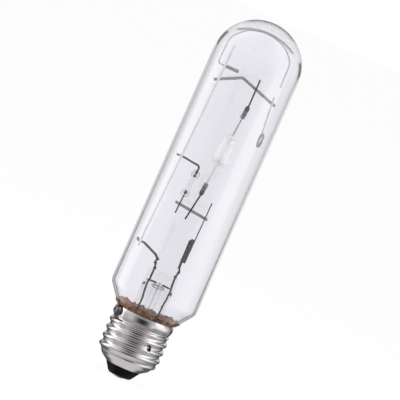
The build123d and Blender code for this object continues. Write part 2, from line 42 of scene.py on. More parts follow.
stem_radius, stem_bore, bore_narrowing = 6.6, 5.9, 0.3
flare_radius, flare_top, flare_foot, flare_end = 10.6, 14.6, 13.7, 19.6
tube_foot, pinch_start, pinch_reach, hollow_start, hollow_reach = 20.0, 36.0, 0.4, 35.6, 0.2
press_bottom, press_top, press_depth = 42.3, 46.7, 2.1
press_edge, press_round = 0.5, 0.15
hollow_depth, hollow_drop = 0.9, 0.4
ring_square, press_square, hollow_square = 2.0, 4.2, 3.5
exhaust_radius, exhaust_bore, exhaust_gap = 2.0, 0.35, 0.35
exhaust_top = press_bottom - exhaust_gap
exhaust_tip, bore_tip = 11.8, 13.6
lump_place, lump_radii = np.array([0, 0, 40.3]), np.array([2.9, 0.75, 0.85])
fold_drop, fold_depth, fold_start = 1.0, 1.6, 1.4
mark_start, mark_depth, mark_height, mark_half = 5.6, 1.2, 39.9, 0.7
face_margin, fold_margin, bore_margin = 0.05, 0.01, 0.02


def unit(vectors):
    """Each vector over its own length."""
    return vectors / np.linalg.norm(vectors, axis=-1, keepdims=True)


def around(sides):
    """Equal angles once round a circle."""
    return np.linspace(0, 2 * np.pi, sides, endpoint=False)


def eased(values, start, end):
    """Smooth step from 0 at start to 1 at end."""
    share = np.clip((np.asarray(values, float) - start) / (end - start), 0, 1)
    return share * share * (3 - 2 * share)


def rounded(corners, bends, steps=9):
    """Line through corners, each replaced by the circular arc of its bend radius that touches both runs.
    The arc is a quadratic curve on the corner, weighted by the cosine of half the turn."""
    corners = np.array(corners, float)
    run = unit(np.diff(corners, axis=0))
    corner = corners[1:-1]
    half_turn = np.arccos(np.clip((run[:-1] * run[1:]).sum(1), -1, 1)) / 2
    reach = (np.broadcast_to(bends, len(corner)) * np.tan(half_turn))[:, None]
    start = (corner - run[:-1] * reach)[:, None]
    end = (corner + run[1:] * reach)[:, None]
    share = np.linspace(0, 1, steps)[None, :, None]
    before, after = (1 - share) ** 2, share**2
    weight = 2 * share * (1 - share) * np.cos(half_turn)[:, None, None]
    arc = (start * before + corner[:, None] * weight + end * after) / (before + weight + after)
    return np.vstack([corners[:1], arc.reshape(-1, corners.shape[1]), corners[-1:]])


def turned(line, sides):
    """Sheet of revolution: a (radius, height) line carried round the upright axis."""
    line = np.asarray(line, float)
    radius, angle = line[:, :1], around(sides)
    height = np.repeat(line[:, 1:], sides, axis=1)
    return np.stack([radius * np.cos(angle), radius * np.sin(angle), height], axis=-1)


def superellipse(angle, wide, deep, square):
    """Flattened ring: cosine and sine, raised to two over the squareness and stretched to half widths."""
    cosine, sine = np.cos(angle), np.sin(angle)
    x = wide * np.sign(cosine) * np.abs(cosine) ** (2 / square)
    return x, deep * np.sign(sine) * np.abs(sine) ** (2 / square)


def levels(wide, deep, square, height):
    """Rings of a squeezed sheet: half widths, half depths, squarenesses, heights, or one value for all."""
    return np.stack(np.broadcast_arrays(wide, deep, square, height), 1)


def squeezed(rings, sides=96):
    """Sheet of flattened rings, each a superellipse at its own height."""
    wide, deep, square, height = (np.asarray(rings, float)[:, column, None] for column in range(4))
    x, y = superellipse(around(sides)[None], wide, deep, square)
    return np.stack([x, y, np.broadcast_to(height, x.shape)], axis=-1)


def bead(centre, radii, sides=20):
    """Sheet of an ellipsoid: a half circle turned round, then stretched to its three half widths."""
    angle = np.linspace(0, np.pi, sides // 2 + 1)
    ball = turned(np.stack([np.sin(angle), -np.cos(angle)], 1), sides)
    return ball * np.broadcast_to(radii, 3) + np.array(centre, float)


rise = np.linspace(tube_foot, press_top - press_edge, 46)
pinch = eased(rise, pinch_start, press_bottom + pinch_reach)
press_half = stem_radius - (stem_radius - press_depth) * pinch
stem_outside = levels(stem_radius, press_half, ring_square + (press_square - ring_square) * pinch, rise)
hollow_rise = np.linspace(tube_foot, press_bottom - hollow_drop, 50)
hollow_pinch = eased(hollow_rise, hollow_start, press_bottom + hollow_reach)
hollow_half = stem_bore - (stem_bore - hollow_depth) * hollow_pinch
hollow_corner = ring_square + (hollow_square - ring_square) * hollow_pinch
stem_inside = levels(stem_bore - bore_narrowing * hollow_pinch, hollow_half, hollow_corner, hollow_rise)
hollow_width, hollow_end = stem_inside[-1, :2]
vault = np.linspace(1, 0, 9)[1:]
vault_height = press_bottom - hollow_drop * vault**2
flare_corners = [(stem_radius, flare_end), (stem_radius, 17.9), (9.4, flare_top), (flare_radius, flare_top)]
under_corners = [(flare_radius, flare_foot), (9.0, flare_foot), (stem_bore, 17.4), (stem_bore, flare_end)]
flare = rounded(flare_corners, (3.0, 1.2))
under = rounded(under_corners, (1.2, 3.0))
stem_rings = [
    [(0, 0, press_square, press_top)],
    [(stem_radius - press_edge, press_depth - press_edge, press_square, press_top)],
    [(stem_radius - press_round, press_depth - press_round, press_square, press_top - press_round)],
    stem_outside[::-1],
    levels(flare[:, 0], flare[:, 0], ring_square, flare[:, 1]),
    levels(under[:, 0], under[:, 0], ring_square, under[:, 1]),
    stem_inside,
    levels(hollow_width * vault, hollow_end, hollow_square, vault_height),
    [(0, 0, hollow_square, press_bottom)],
]
exhaust_corners = [
    (0, exhaust_tip), (exhaust_radius, exhaust_tip),
    (exhaust_radius, exhaust_top), (exhaust_bore, exhaust_top),
]
exhaust_outer = rounded(exhaust_corners, (2.0, 0.05))
exhaust_inner = rounded([(exhaust_bore, exhaust_top), (exhaust_bore, bore_tip), (0, bore_tip)], 0.4)


def feed(tree, socket, value):
    """Sets a socket to a plain value, or links an output to it."""
    if isinstance(value, bpy.types.NodeSocket):
        tree.links.new(value, socket)
    else:
        socket.default_value = value


def reckoned(tree, operation, first, second, kind="Math"):
    """Output of a Math or VectorMath node on two values."""
    node = tree.nodes.new(f"ShaderNode{kind}")
    node.operation = operation
    feed(tree, node.inputs[0], first)
    feed(tree, node.inputs[1], second)
    return node.outputs[0]


def blended(tree, share, first, second, kind="RGBA"):
    """Colour or number that goes from the first to the second as the share goes from 0 to 1."""
    mix = tree.nodes.new("ShaderNodeMix")
    mix.data_type = kind
    for title, value in (("Factor", share), ("A", first), ("B", second)):
        feed(tree, mix.inputs[title], value)
    return mix.outputs["Result"]


def smoothed(tree, value, low, high):
    """Number that goes smoothly from 0 at low to 1 at high."""
    level = tree.nodes.new("ShaderNodeMapRange")
    level.interpolation_type = "SMOOTHSTEP"
    for title, given in (("Value", value), ("From Min", low), ("From Max", high)):
        feed(tree, level.inputs[title], given)
    return level.outputs["Result"]


def group_of(name, inputs, outputs):
    """Node group with (title, kind, value) inputs and (title, kind) outputs, and its inner sockets."""
    group = bpy.data.node_groups.new(name, "ShaderNodeTree")
    for title, kind, value in inputs:
        socket = group.interface.new_socket(title, in_out="INPUT", socket_type=f"NodeSocket{kind}")
        socket.default_value = value
    for title, kind in outputs:
        group.interface.new_socket(title, in_out="OUTPUT", socket_type=f"NodeSocket{kind}")
    return group, group.nodes.new("NodeGroupInput").outputs, group.nodes.new("NodeGroupOutput").inputs


def placed(tree, group, **values):
    """Outputs of a group that is placed in a material with its own values."""
    node = tree.nodes.new("ShaderNodeGroup")
    node.node_tree = group
    for title, value in values.items():
        node.inputs[title.replace("_", " ")].default_value = value
    return node.outputs


def mottle_group():
    """Group of blotches and grain on Object coordinates: a broad and a fine noise, added and eased, choose
    between two colours and two roughnesses, and the same sum goes out as a height."""
    inputs = (
        ("Grain", "Vector", (500.0, 500.0, 500.0)),
        ("Fine", "Float", 6.0),
        ("Low", "Float", 0.4),
        ("High", "Float", 0.65),
        ("First", "Color", (0.5, 0.5, 0.5, 1)),
        ("Second", "Color", (0.2, 0.2, 0.2, 1)),
        ("First Roughness", "Float", 0.2),
        ("Second Roughness", "Float", 0.5),
    )
    outputs = (("Color", "Color"), ("Roughness", "Float"), ("Height", "Float"))
    group, given, out = group_of("mottle", inputs, outputs)
    place = group.nodes.new("ShaderNodeTexCoord").outputs["Object"]
    scaled = reckoned(group, "MULTIPLY", place, given["Grain"], "VectorMath")
    noises = []
    for scale, detail in ((1.0, 3.0), (given["Fine"], 2.0)):
        noise = group.nodes.new("ShaderNodeTexNoise")
        noise.inputs["Detail"].default_value = detail
        feed(group, noise.inputs["Scale"], scale)
        feed(group, noise.inputs["Vector"], scaled)
        noises.append(noise.outputs["Fac"])
    fine_share = 0.35
    total = blended(group, fine_share, *noises, kind="FLOAT")
    level = smoothed(group, total, given["Low"], given["High"])
    feed(group, out["Color"], blended(group, level, given["First"], given["Second"]))
    rough = blended(group, level, given["First Roughness"], given["Second Roughness"], kind="FLOAT")
    feed(group, out["Roughness"], rough)
    feed(group, out["Height"], total)
    return group


mottle = mottle_group()


def finish(name, **sockets):
    """Node material whose Principled shader has these plain socket values."""
    made = bpy.data.materials.new(name)
    made.use_nodes = True
    shader = made.node_tree.nodes["Principled BSDF"]
    for socket, value in sockets.items():
        shader.inputs[socket.replace("_", " ")].default_value = value
    return made, made.node_tree, shader


def mottled(tree, shader, grain, first=None, second=None, rough=None, bump=0.0, depth=0.02, **values):
    """Places the mottle group in a material and feeds the shader what is given: two colours, two
    roughnesses and a bump of this depth in millimetres. Returns the colour."""
    if first:
        values.update(First=(*first, 1), Second=(*second, 1))
    if rough:
        values.update(First_Roughness=rough[0], Second_Roughness=rough[1])
    made = placed(tree, mottle, Grain=np.broadcast_to(np.array(grain, float), 3), **values)
    if first:
        tree.links.new(made["Color"], shader.inputs["Base Color"])
    if rough:
        tree.links.new(made["Roughness"], shader.inputs["Roughness"])
    if bump:
        relief = tree.nodes.new("ShaderNodeBump")
        relief.inputs["Strength"].default_value = bump
        relief.inputs["Distance"].default_value = depth * MM
        tree.links.new(made["Height"], relief.inputs["Height"])
        tree.links.new(relief.outputs["Normal"], shader.inputs["Normal"])
    return made["Color"]


def worn(name, grain, first, second, rough, bump, depth, blotches=None, **sockets):
    """Mottled material with these plain socket values, and its own values for the blotches if given."""
    made, tree, shader = finish(name, **sockets)
    mottled(tree, shader, grain, first, second, rough, bump, depth, **(blotches or {}))
    return made


def surfaced(tree, share, first, second):
    """Gives a material's surface the first shader, and the second as far as the share goes."""
    choice = tree.nodes.new("ShaderNodeMixShader")
    for socket, output in zip(choice.inputs, (share, first, second)):
        tree.links.new(output, socket)
    tree.links.new(choice.outputs["Shader"], tree.nodes["Material Output"].inputs["Surface"])


def lets_lamps_through(tree, shader):
    """Glass that casts no shadow: for shadow rays the shader gives way to a clear one."""
    shadow = tree.nodes.new("ShaderNodeLightPath").outputs["Is Shadow Ray"]
    unseen = tree.nodes.new("ShaderNodeBsdfTransparent").outputs["BSDF"]
    surfaced(tree, shadow, shader.outputs["BSDF"], unseen)


def slant_shade_ramp(tree, stops):
    """Colour of glass that changes where it is met at a slant: a ramp over Layer Weight's facing value,
    painted shade and light that stand for the dark and pale rims which refraction and reflection give clear
    glass. A stop is a place and a colour, or one number for a grey."""
    facing, ramp = tree.nodes.new("ShaderNodeLayerWeight"), tree.nodes.new("ShaderNodeValToRGB")
    facing.inputs["Blend"].default_value = 0.5
    elements = ramp.color_ramp.elements
    elements[0].position = stops[0][0]
    elements[1].position = stops[-1][0]
    for place, colour in stops[1:-1]:
        elements.new(place)
    for element, (place, colour) in zip(elements, stops):
        element.color = (*np.broadcast_to(colour, 3), 1)
    tree.links.new(facing.outputs["Facing"], ramp.inputs["Fac"])
    return ramp.outputs["Color"]


def glass(name, stops, **sockets):
    """Clear material that is coloured by a slant ramp of painted rim shade and lets the lamps through."""
    made, tree, shader = finish(name, Transmission_Weight=1.0, **sockets)
    tree.links.new(slant_shade_ramp(tree, stops), shader.inputs["Base Color"])
    lets_lamps_through(tree, shader)
    return made, tree, shader


# Painted shade: the stem's and the exhaust tube's glass darkens toward grey at its slanted rims.
stem_stops = [(0.0, (0.97, 0.97, 0.975)), (0.6, (0.93, 0.93, 0.94)), (1.0, (0.45, 0.45, 0.48))]
stem_finish, tree, shader = glass("stem_finish", stem_stops, IOR=1.2)
mottled(tree, shader, (260, 260, 90), rough=(0.0, 0.05), bump=0.25, depth=0.15)
exhaust_stops = [(0.0, (0.98, 0.98, 0.985)), (0.5, (0.95, 0.95, 0.96)), (1.0, (0.6, 0.6, 0.63))]
exhaust_finish = glass("exhaust_finish", exhaust_stops, IOR=1.2, Roughness=0.0)[0]
# Painted shade: the exhaust tube's thin bore is grey glass, darker at its rims, so it shows as a dark line
# down the tube's middle.
tip_stops = [(0.0, (0.75, 0.75, 0.77)), (0.5, (0.66, 0.66, 0.68)), (1.0, (0.45, 0.45, 0.47))]
bore_shade_finish = glass("bore_shade_finish", tip_stops, IOR=1.2, Roughness=0.1)[0]
# Painted shade: near-black glass laid on the fold under the press and on a short band at each side of it
# beside the leads.
crease_shade = worn(
    "crease_shade", 900, (0.04, 0.03, 0.028), (0.012, 0.01, 0.01), rough=(0.2, 0.4), bump=0.5, depth=0.1,
    IOR=1.5, Transmission_Weight=0.2,
)
# Painted shade: the lump on the press is pale brown glass face on and darkens to near black toward its
# slanted rim.
blown_stops = [(0.0, (0.9, 0.86, 0.8)), (0.25, (0.6, 0.5, 0.42)), (0.5, (0.08, 0.06, 0.05)), (1.0, 0.02)]
blown_finish, tree, shader = glass("blown_finish", blown_stops, IOR=1.5, Roughness=0.0)
mottled(tree, shader, 1100, bump=1.0, depth=0.5, Fine=3.0)


def linked(thing):
    """Puts a new object in the scene."""
    bpy.context.scene.collection.objects.link(thing)
    return thing


def skin(name, *sheets, sharp=40.0, merge=1e-7):
    """Mesh of closed sheets: each is a grid of points in millimetres whose columns run round and join up.
    Rows that shrink to a point become a pole, and a last row on the first one closes the other way."""
    corners = []
    faces = []
    count = 0
    for sheet in sheets:
        rows, columns = sheet.shape[:2]
        index = count + np.arange(rows * columns).reshape(rows, columns)
        beside = np.roll(index, -1, axis=1)
        faces.append(np.stack([index[:-1], beside[:-1], beside[1:], index[1:]], axis=-1).reshape(-1, 4))
        corners.append(sheet.reshape(-1, 3))
        count += rows * columns
    mesh = bpy.data.meshes.new(name)
    mesh.from_pydata((np.vstack(corners) * MM).tolist(), [], np.vstack(faces).tolist())
    shape = bmesh.new()
    shape.from_mesh(mesh)
    bmesh.ops.remove_doubles(shape, verts=shape.verts, dist=merge)
    bmesh.ops.recalc_face_normals(shape, faces=shape.faces)
    shape.to_mesh(mesh)
    shape.free()
    mesh.polygons.foreach_set("use_smooth", np.ones(len(mesh.polygons), bool))
    mesh.set_sharp_from_angle(angle=np.radians(sharp))
    return linked(bpy.data.objects.new(name, mesh))


def fitted(name, node, slot, material, *sheets, sharp=40.0):
    """Piece made of these sheets, on the lamp's one body, in place of its CAD node."""
    piece = skin(name, *sheets, sharp=sharp)
    piece.data.materials.append(material)
    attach(piece, "root")
    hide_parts(node)
    return piece


def faces_of(piece):
    """Middle of each face in millimetres, and its normal."""
    count = len(piece.data.polygons)
    middle, normal = np.empty(3 * count), np.empty(3 * count)
    piece.data.polygons.foreach_get("center", middle)
    piece.data.polygons.foreach_get("normal", normal)
    return middle.reshape(-1, 3) / MM, normal.reshape(-1, 3)


def refinished(piece, material, chosen):
    """Gives the chosen faces of a piece one more material."""
    index = np.zeros(len(piece.data.polygons), np.int32)
    piece.data.polygons.foreach_get("material_index", index)
    index[chosen] = len(piece.data.materials)
    piece.data.materials.append(material)
    piece.data.polygons.foreach_set("material_index", index)


stem = fitted(
    "pressed_stem", "stem_glass", "stem_glass", stem_finish,
    squeezed(np.vstack(stem_rings)),
    turned(np.vstack([exhaust_outer, exhaust_inner]), 40),
    bead(lump_place, lump_radii, 40),
)
middle = faces_of(stem)[0]
from_axis = np.hypot(middle[:, 0], middle[:, 1])
off_x, off_y, face_height = np.abs(middle[:, 0]), np.abs(middle[:, 1]), middle[:, 2]
in_tube = face_height < exhaust_top + face_margin
in_fold = (face_height > press_bottom - fold_drop) & (face_height < press_bottom + fold_margin)
in_fold &= (off_x > fold_start) & (off_x < hollow_width) & (off_y < fold_depth)
at_mark = (np.abs(face_height - mark_height) < mark_half) & (off_x > mark_start) & (off_y < mark_depth)
refinished(stem, exhaust_finish, (from_axis < exhaust_radius + face_margin) & in_tube)
refinished(stem, bore_shade_finish, (from_axis < exhaust_bore + bore_margin) & in_tube)
# Painted shade in the fold under the press and on the two side bands.
refinished(stem, crease_shade, in_fold)
refinished(stem, crease_shade, at_mark)
refinished(stem, blown_finish, (((middle - lump_place) / (lump_radii + face_margin)) ** 2).sum(1) < 1)

# Lead-in wires: dark drawn wires sealed in the press, with the small knobs of their welds above the glass.
# Oxidised steel and molybdenum; the upper ends are kinked by hand where the mount is welded on.


def without_repeats(line, least=1e-6):
    """Line without the points that lie on the one before."""
    return line[np.r_[True, np.linalg.norm(np.diff(line, axis=0), axis=1) > least]]


def along(line):
    """Direction of a line at each point: the sum of the runs before and after it."""
    step = unit(np.diff(line, axis=0))
    return unit(np.vstack([step[:1], step]) + np.vstack([step, step[-1:]]))


def drawn(route, diameter, bends=0.8, edge=0.35, sides=18, section=None, across=(0, 1, 0)):
    """Sheet of a section carried along a route: a circle, or the given (side, up) outline, set square to
    the rounded line; at both ends it shrinks round a quarter circle and then closes flat."""
    path = without_repeats(rounded(route, bends))
    run = along(path)
    turn = np.linspace(0, np.pi / 2, 5)
    lift = np.r_[0, edge * diameter / 2 * (1 - np.cos(turn))]
    share = np.r_[0, 1 - edge * (1 - np.sin(turn))]
    first = path[0] + np.outer(lift, run[0])
    last = path[-1] - np.outer(lift[::-1], run[-1])
    centre = np.vstack([first, path[1:-1], last])
    size = np.r_[share, np.ones(len(path) - 2), share[::-1]][:, None, None]
    run = np.vstack([np.repeat(run[:1], len(lift), 0), run[1:-1], np.repeat(run[-1:], len(lift), 0)])
    side = unit(np.cross(run, across))
    up = np.cross(side, run)
    if section is None:
        angle = around(sides)
        section = diameter / 2 * np.stack([np.cos(angle), np.sin(angle)], 1)
    outline = section[None, :, :1] * side[:, None] + section[None, :, 1:] * up[:, None]
    return centre[:, None] + size * outline


lead_diameter = 0.82
knob_radii = (0.725, 0.725, 0.55)
lead_routes = {
    "left": (
        (-4.75, 51.65), (-5.2, 49.75), (-4.35, 47.6), (-4.4, 41.9),
        (-4.8, 40.2), (-4.1, 33.0), (-4.1, 13.0),
    ),
    "right": (
        (4.7, 51.75), (5.5, 49.65), (4.85, 47.3), (4.95, 43.7),
        (5.4, 40.2), (4.6, 29.0), (4.6, 13.0),
    ),
}
knob_places = {"left": ((-4.35, 47.2), (-5.0, 49.25)), "right": ((4.87, 47.1), (5.35, 49.3))}
wire_finish = worn(
    "wire_finish", (1800, 1800, 260), (0.022, 0.021, 0.02), (0.007, 0.007, 0.008), rough=(0.35, 0.6),
    bump=0.3, depth=0.03, blotches={"Fine": 5.0}, IOR=1.5, Specular_IOR_Level=0.3,
)
for hand, route in lead_routes.items():
    wire = drawn([(x, 0, z) for x, z in route], lead_diameter)
    knobs = [bead((x, 0, z), knob_radii) for x, z in knob_places[hand]]
    fitted(f"{hand}_lead_in", f"{hand}_lead", "dark_wire", wire_finish, wire, *knobs)

# Tails: thin copper-cored wires that go on from the leads in the cap, one to the rim, one to the contact.
# They are bent by hand when the cap is put on; the side tail comes out under the solder at the rim.
solder_angle = np.radians(210.7)
outward = np.array([np.cos(solder_angle), np.sin(solder_angle), 0])
tail_diameter, tail_bend, tail_sides = 0.35, 0.3, 12
rim_rise = ((11.2, 12.2), (11.2, 26.3), (12.15, 27.3), (13.165, 27.3), (13.165, 26.0))
rim_route = [(-4.1, 0, 12.98), (-4.1, 0, 12.2)] + [radius * outward + (0, 0, z) for radius, z in rim_rise]
contact_route = [(4.6, 0, 12.98), (4.6, 0, 12.2), (0, 0, 8.0), (0, 0, 0.35)]
tail_finish = worn(
    "tail_finish", (1500, 1500, 400), (0.55, 0.3, 0.17), (0.2, 0.1, 0.06), rough=(0.3, 0.55),
    bump=0.2, depth=0.02, Metallic=1.0,
)
rim_tail = drawn(rim_route, tail_diameter, tail_bend, sides=tail_sides, across=(0.51, -0.86, 0))
fitted("rim_tail", "side_contact_wire", "copper_tail", tail_finish, rim_tail)
contact_tail = drawn(contact_route, tail_diameter, tail_bend, sides=tail_sides)
fitted("contact_tail", "centre_contact_wire", "copper_tail", tail_finish, contact_tail)

# Frame rod: the long straight rod up the side that carries the current to the top of the mount.
# Bright drawn nickel, cut square at both ends and welded to the arm below and the crossbar above.
rod_diameter = 1.0
rod_foot, rod_top = np.array([-14.1, -6.0, 53.4]), np.array([-10.95, -6.0, 144.1])
weld_gap = 0.02
rod_back = rod_foot[1] + rod_diameter / 2 + weld_gap


def on_rod(height):
    """Point of the rod's axis at a height."""
    return rod_foot + (rod_top - rod_foot) * (height - rod_foot[2]) / (rod_top[2] - rod_foot[2])


rod_finish = worn(
    "rod_finish", (1500, 1500, 70), (0.74, 0.735, 0.74), (0.64, 0.635, 0.64), rough=(0.3, 0.4),
    bump=0.15, depth=0.02, Metallic=0.25,
)
rod = drawn([rod_foot, rod_top], rod_diameter, 0, sides=24)
fitted("nickel_rod", "frame_rod", "nickel_rod", rod_finish, rod)

# Lower arm: stiff wire bent from the left lead out to the foot of the rod, with a turned-up end.
# Dark drawn wire, welded in front of the lead and behind the rod, with a flattened weld at each.
arm_diameter, arm_height = 1.0, 55.35
arm_y = rod_back + arm_diameter / 2
arm_cross = on_rod(arm_height)[0]
arm_overhang, arm_upturn, arm_reach = 1.3, 1.2, 1.6
arm_left = arm_cross - arm_overhang
arm_route = [
    (arm_left, arm_y, arm_height + arm_upturn), (arm_left, arm_y, arm_height),
    (arm_cross + arm_reach, arm_y, arm_height), (-6.2, -1.3, 52.45), (-4.45, -0.895, 50.7),
]
arm_welds = (
    ((arm_cross, arm_y - 0.35, arm_height), (0.75, 0.3, 0.62)),
    ((-4.6, -0.55, 51.0), (0.5, 0.35, 0.6)),
)
arm = drawn(arm_route, arm_diameter, (0.6, 1.2, 1.2), sides=20)
fitted("bent_arm", "lower_arm", "dark_wire", wire_finish, arm, *[bead(*weld) for weld in arm_welds])

# Dome bow: spring wire under the crown that keeps the mount centred, with a balled free end.
# Thin drawn wire, its foot welded behind the short strip that ties it to the rod.
bow_diameter, bow_foot, bow_ball, bow_tail = 0.68, 134.85, 0.475, 3.7
strip_thickness = 0.35
bow_y = rod_back + strip_thickness + weld_gap + bow_diameter / 2
bow_cross = on_rod(bow_foot)[0]
bow_end = (13.0, 0.7, 135.85)
bow_arch = ((-14.5, bow_foot), (-14.15, 146.7), (-8.3, 152.9), (-0.7, 155.55), (7.6, 153.2), (12.65, 146.8))
bow_bends = (1.2, 8.0, 11.0, 10.5, 11.0, 8.0)
bow_start = bow_arch[0][0]
bow_lean = (bow_end[1] - bow_y) / (bow_end[0] - bow_start)
bow_route = [(bow_cross + bow_tail, bow_y, bow_foot)]
bow_route += [(x, bow_y + bow_lean * (x - bow_start), z) for x, z in bow_arch]
bow_route += [bow_end]
bow_finish = worn(
    "bow_finish", (1500, 1500, 200), (0.58, 0.575, 0.575), (0.43, 0.425, 0.425), rough=(0.28, 0.5),
    bump=0.2, depth=0.02, Metallic=0.25,
)
bow = drawn(bow_route, bow_diameter, bow_bends, sides=16)
fitted("spring_bow", "dome_bow", "dark_wire", bow_finish, bow, bead(bow_end, bow_ball))

# Strips: the bow's tie, the bent bar over the arc tube and the straight bar under it.
# Dark rolled strip with rounded edges, spot welded behind the wires that cross it.


def flat_section(width, thickness, sides=28):
    """Outline of a rolled strip: a superellipse of power eight, width along the side and thickness up."""
    return np.stack(superellipse(around(sides), width / 2, thickness / 2, 8), 1)


strip_finish = worn(
    "strip_finish", (420, 900, 900), (0.3, 0.293, 0.29), (0.2, 0.196, 0.195), rough=(0.4, 0.6),
    bump=0.3, depth=0.03, Metallic=0.2,
)
strip_edge = 0.4
tie_section, bar_section = flat_section(1.4, strip_thickness), flat_section(1.2, strip_thickness)
tie_y, tie_overhang, tie_reach = rod_back + strip_thickness / 2, 0.5, 6.0
tie_route = [(bow_cross - tie_overhang, tie_y, bow_foot), (bow_cross + tie_reach, tie_y, bow_foot)]
tie = drawn(tie_route, strip_edge, 0, section=tie_section)
fitted("bow_tie_strip", "bow_strap", "dark_strip", strip_finish, tie)
lead_x, bar_height, bar_overhang = 4.2, 128.0, 1.6
bar_left = on_rod(bar_height)[0] - bar_overhang
bar_slope, bar_start, bar_across = 0.32442, np.array([-0.1654, -0.2267]), (0.3086, -0.9512, 0)
bar_places = ((bar_left, bar_height), (-2.55, 133.1), (12.3, bar_height), (14.4, 127.4))
bar_route = [(x + bar_start[0], bar_start[1] + bar_slope * (x - lead_x), z) for x, z in bar_places]
roof_welds = (
    ((on_rod(128.3)[0], -5.55, 128.45), (0.5, 0.12, 0.55)),
    ((lead_x, -0.42, 130.8), (0.42, 0.14, 0.6)),
)
roof_bar = drawn(bar_route, strip_edge, (1.6, 3.2), section=bar_section, across=bar_across)
roof_beads = [bead(*weld) for weld in roof_welds]
fitted("roof_bar", "upper_crossbar", "dark_strip", strip_finish, roof_bar, *roof_beads)
floor_route = [(-7.55, -0.2, 75.5), (7.5, -0.2, 73.8)]
floor_welds = (
    ((-5.72, -0.42, 75.3), (0.38, 0.14, 0.55)),
    ((-0.65, -0.42, 74.7), (0.4, 0.14, 0.55)),
    ((6.35, -0.42, 73.95), (0.36, 0.14, 0.5)),
)
floor_bar = drawn(floor_route, strip_edge, 0, section=bar_section)
floor_beads = [bead(*weld) for weld in floor_welds]
fitted("floor_bar", "lower_crossbar", "dark_strip", strip_finish, floor_bar, *floor_beads)

# Right-hand post and thin rod: a thick stub on the right lead, and a thin rod with a balled top.
# Dark drawn wire; both are spot welded to the getter strip that lies behind them.
post_diameter, needle_diameter, needle_ball = 1.05, 0.5, 0.375
post = drawn([(4.75, -0.92, 50.85), (4.45, -0.92, 63.35)], post_diameter, 0, sides=20)
fitted("stub_post", "right_post", "dark_wire", wire_finish, post)
needle_foot, needle_top = (6.0, -0.645, 53.95), (6.45, -0.645, 80.5)
needle = drawn([needle_foot, needle_top], needle_diameter, 0, sides=14)
fitted("needle_rod", "right_rod", "dark_wire", wire_finish, needle, bead(needle_top, needle_ball))

# Getters: a flat strip with a cut corner behind the post, and a small pressed ring on a wire higher up.
# Sintered getter powder on iron strip, dark grey, browned by the flame on the lower third of the strip.


def height_group():
    """Group that gives a mask on Object coordinates, from 0 below the low height to 1 above the high one."""
    inputs = (("Low", "Float", 0.0), ("High", "Float", 1.0))
    group, given, out = group_of("height", inputs, (("Mask", "Float"),))
    apart = group.nodes.new("ShaderNodeSeparateXYZ")
    feed(group, apart.inputs["Vector"], group.nodes.new("ShaderNodeTexCoord").outputs["Object"])
    feed(group, out["Mask"], smoothed(group, apart.outputs["Z"], given["Low"], given["High"]))
    return group


height_mask = height_group()


def above(tree, low, high):
    """Mask that goes from 0 below one height to 1 above another, in millimetres."""
    return placed(tree, height_mask, Low=low * MM, High=high * MM)["Mask"]


def by_height(tree, colour, *bands):
    """Colour that changes with height: each band is (low, high, upper) with its heights in millimetres, and
    blends what lies below it into its upper colour between the two."""
    for low, high, upper in bands:
        colour = blended(tree, above(tree, low, high), colour, upper)
    return colour


plate_finish, tree, shader = finish("plate_finish", IOR=1.5, Specular_IOR_Level=0.3)
plate_grain = (1100, 1100, 900)
browned = mottled(
    tree, shader, plate_grain, (0.1, 0.05, 0.032), (0.035, 0.016, 0.01), rough=(0.5, 0.75),
    bump=0.6, depth=0.05, Fine=7.0,
)
grey = mottled(tree, shader, plate_grain, (0.05, 0.048, 0.046), (0.016, 0.015, 0.015), Fine=7.0)
tree.links.new(by_height(tree, browned, (56.6, 58.2, grey)), shader.inputs["Base Color"])
channel_finish = worn(
    "channel_finish", 900, (0.42, 0.415, 0.41), (0.24, 0.235, 0.23), rough=(0.35, 0.6),
    bump=0.4, depth=0.04, blotches={"Fine": 7.0}, Metallic=0.3,
)
plate_y, plate_thickness, plate_right = -0.225, 0.3, 6.28
plate_left = np.array([4.05, 4.05, 4.05, 4.05, 4.42, 4.8, 4.8])[:, None]
plate_height = np.array([53.75, 53.75, 58.0, 63.0, 63.6, 64.2, 64.2])[:, None]
plate_share = np.array([0, 1, 1, 1, 1, 1, 0])[:, None]
plate_outline = flat_section(2.0, plate_thickness, 32)
plate_half = plate_share * (plate_right - plate_left) / 2
plate_x = (plate_left + plate_right) / 2 + plate_half * plate_outline[:, 0]
plate_sheet = np.broadcast_arrays(plate_x, plate_y + plate_share * plate_outline[:, 1], plate_height)
fitted("getter_plate", "getter_strip", "getter", plate_finish, np.stack(plate_sheet, -1))
hanger_y, hanger_diameter = 1.978, 0.72
hanger = drawn([(12.3, hanger_y, 130.8), (13.65, hanger_y, 115.4)], hanger_diameter, 0, sides=14)
fitted("getter_hanger", "getter_wire", "dark_wire", bow_finish, hanger)
ring_inner, ring_outer, ring_half, ring_sheet = 2.4, 3.1, 0.42, 0.16
ring_middle, ring_floor = (ring_inner + ring_outer) / 2, ring_sheet - ring_half
ring_corners = [
    (ring_middle, -ring_half), (ring_outer, -ring_half), (ring_outer, ring_half),
    (ring_outer - ring_sheet, ring_half), (ring_outer - ring_sheet, ring_floor),
    (ring_inner + ring_sheet, ring_floor), (ring_inner + ring_sheet, ring_half),
    (ring_inner, ring_half), (ring_inner, -ring_half), (ring_middle, -ring_half),
]
ring_line = rounded(ring_corners, (0.12, 0.07, 0.07, 0.06, 0.06, 0.07, 0.07, 0.12), 5)
swing = np.radians(11.0)
ring_turn = np.array([[0, -np.sin(swing), -np.cos(swing)], [0, np.cos(swing), -np.sin(swing)], [1, 0, 0]])
channel = turned(ring_line, 72) @ ring_turn.T + np.array([14.2, hanger_y, 112.3])
fitted("getter_channel", "getter_ring", "getter", channel_finish, channel)

# Arc tube: a ceramic barrel with two thin legs, which holds the discharge.
# Translucent white alumina, moulded in one piece and fired; it leans a little on its leads.
arc_middle, arc_lean = np.array([2.45, -0.725, 102.6]), 4.73


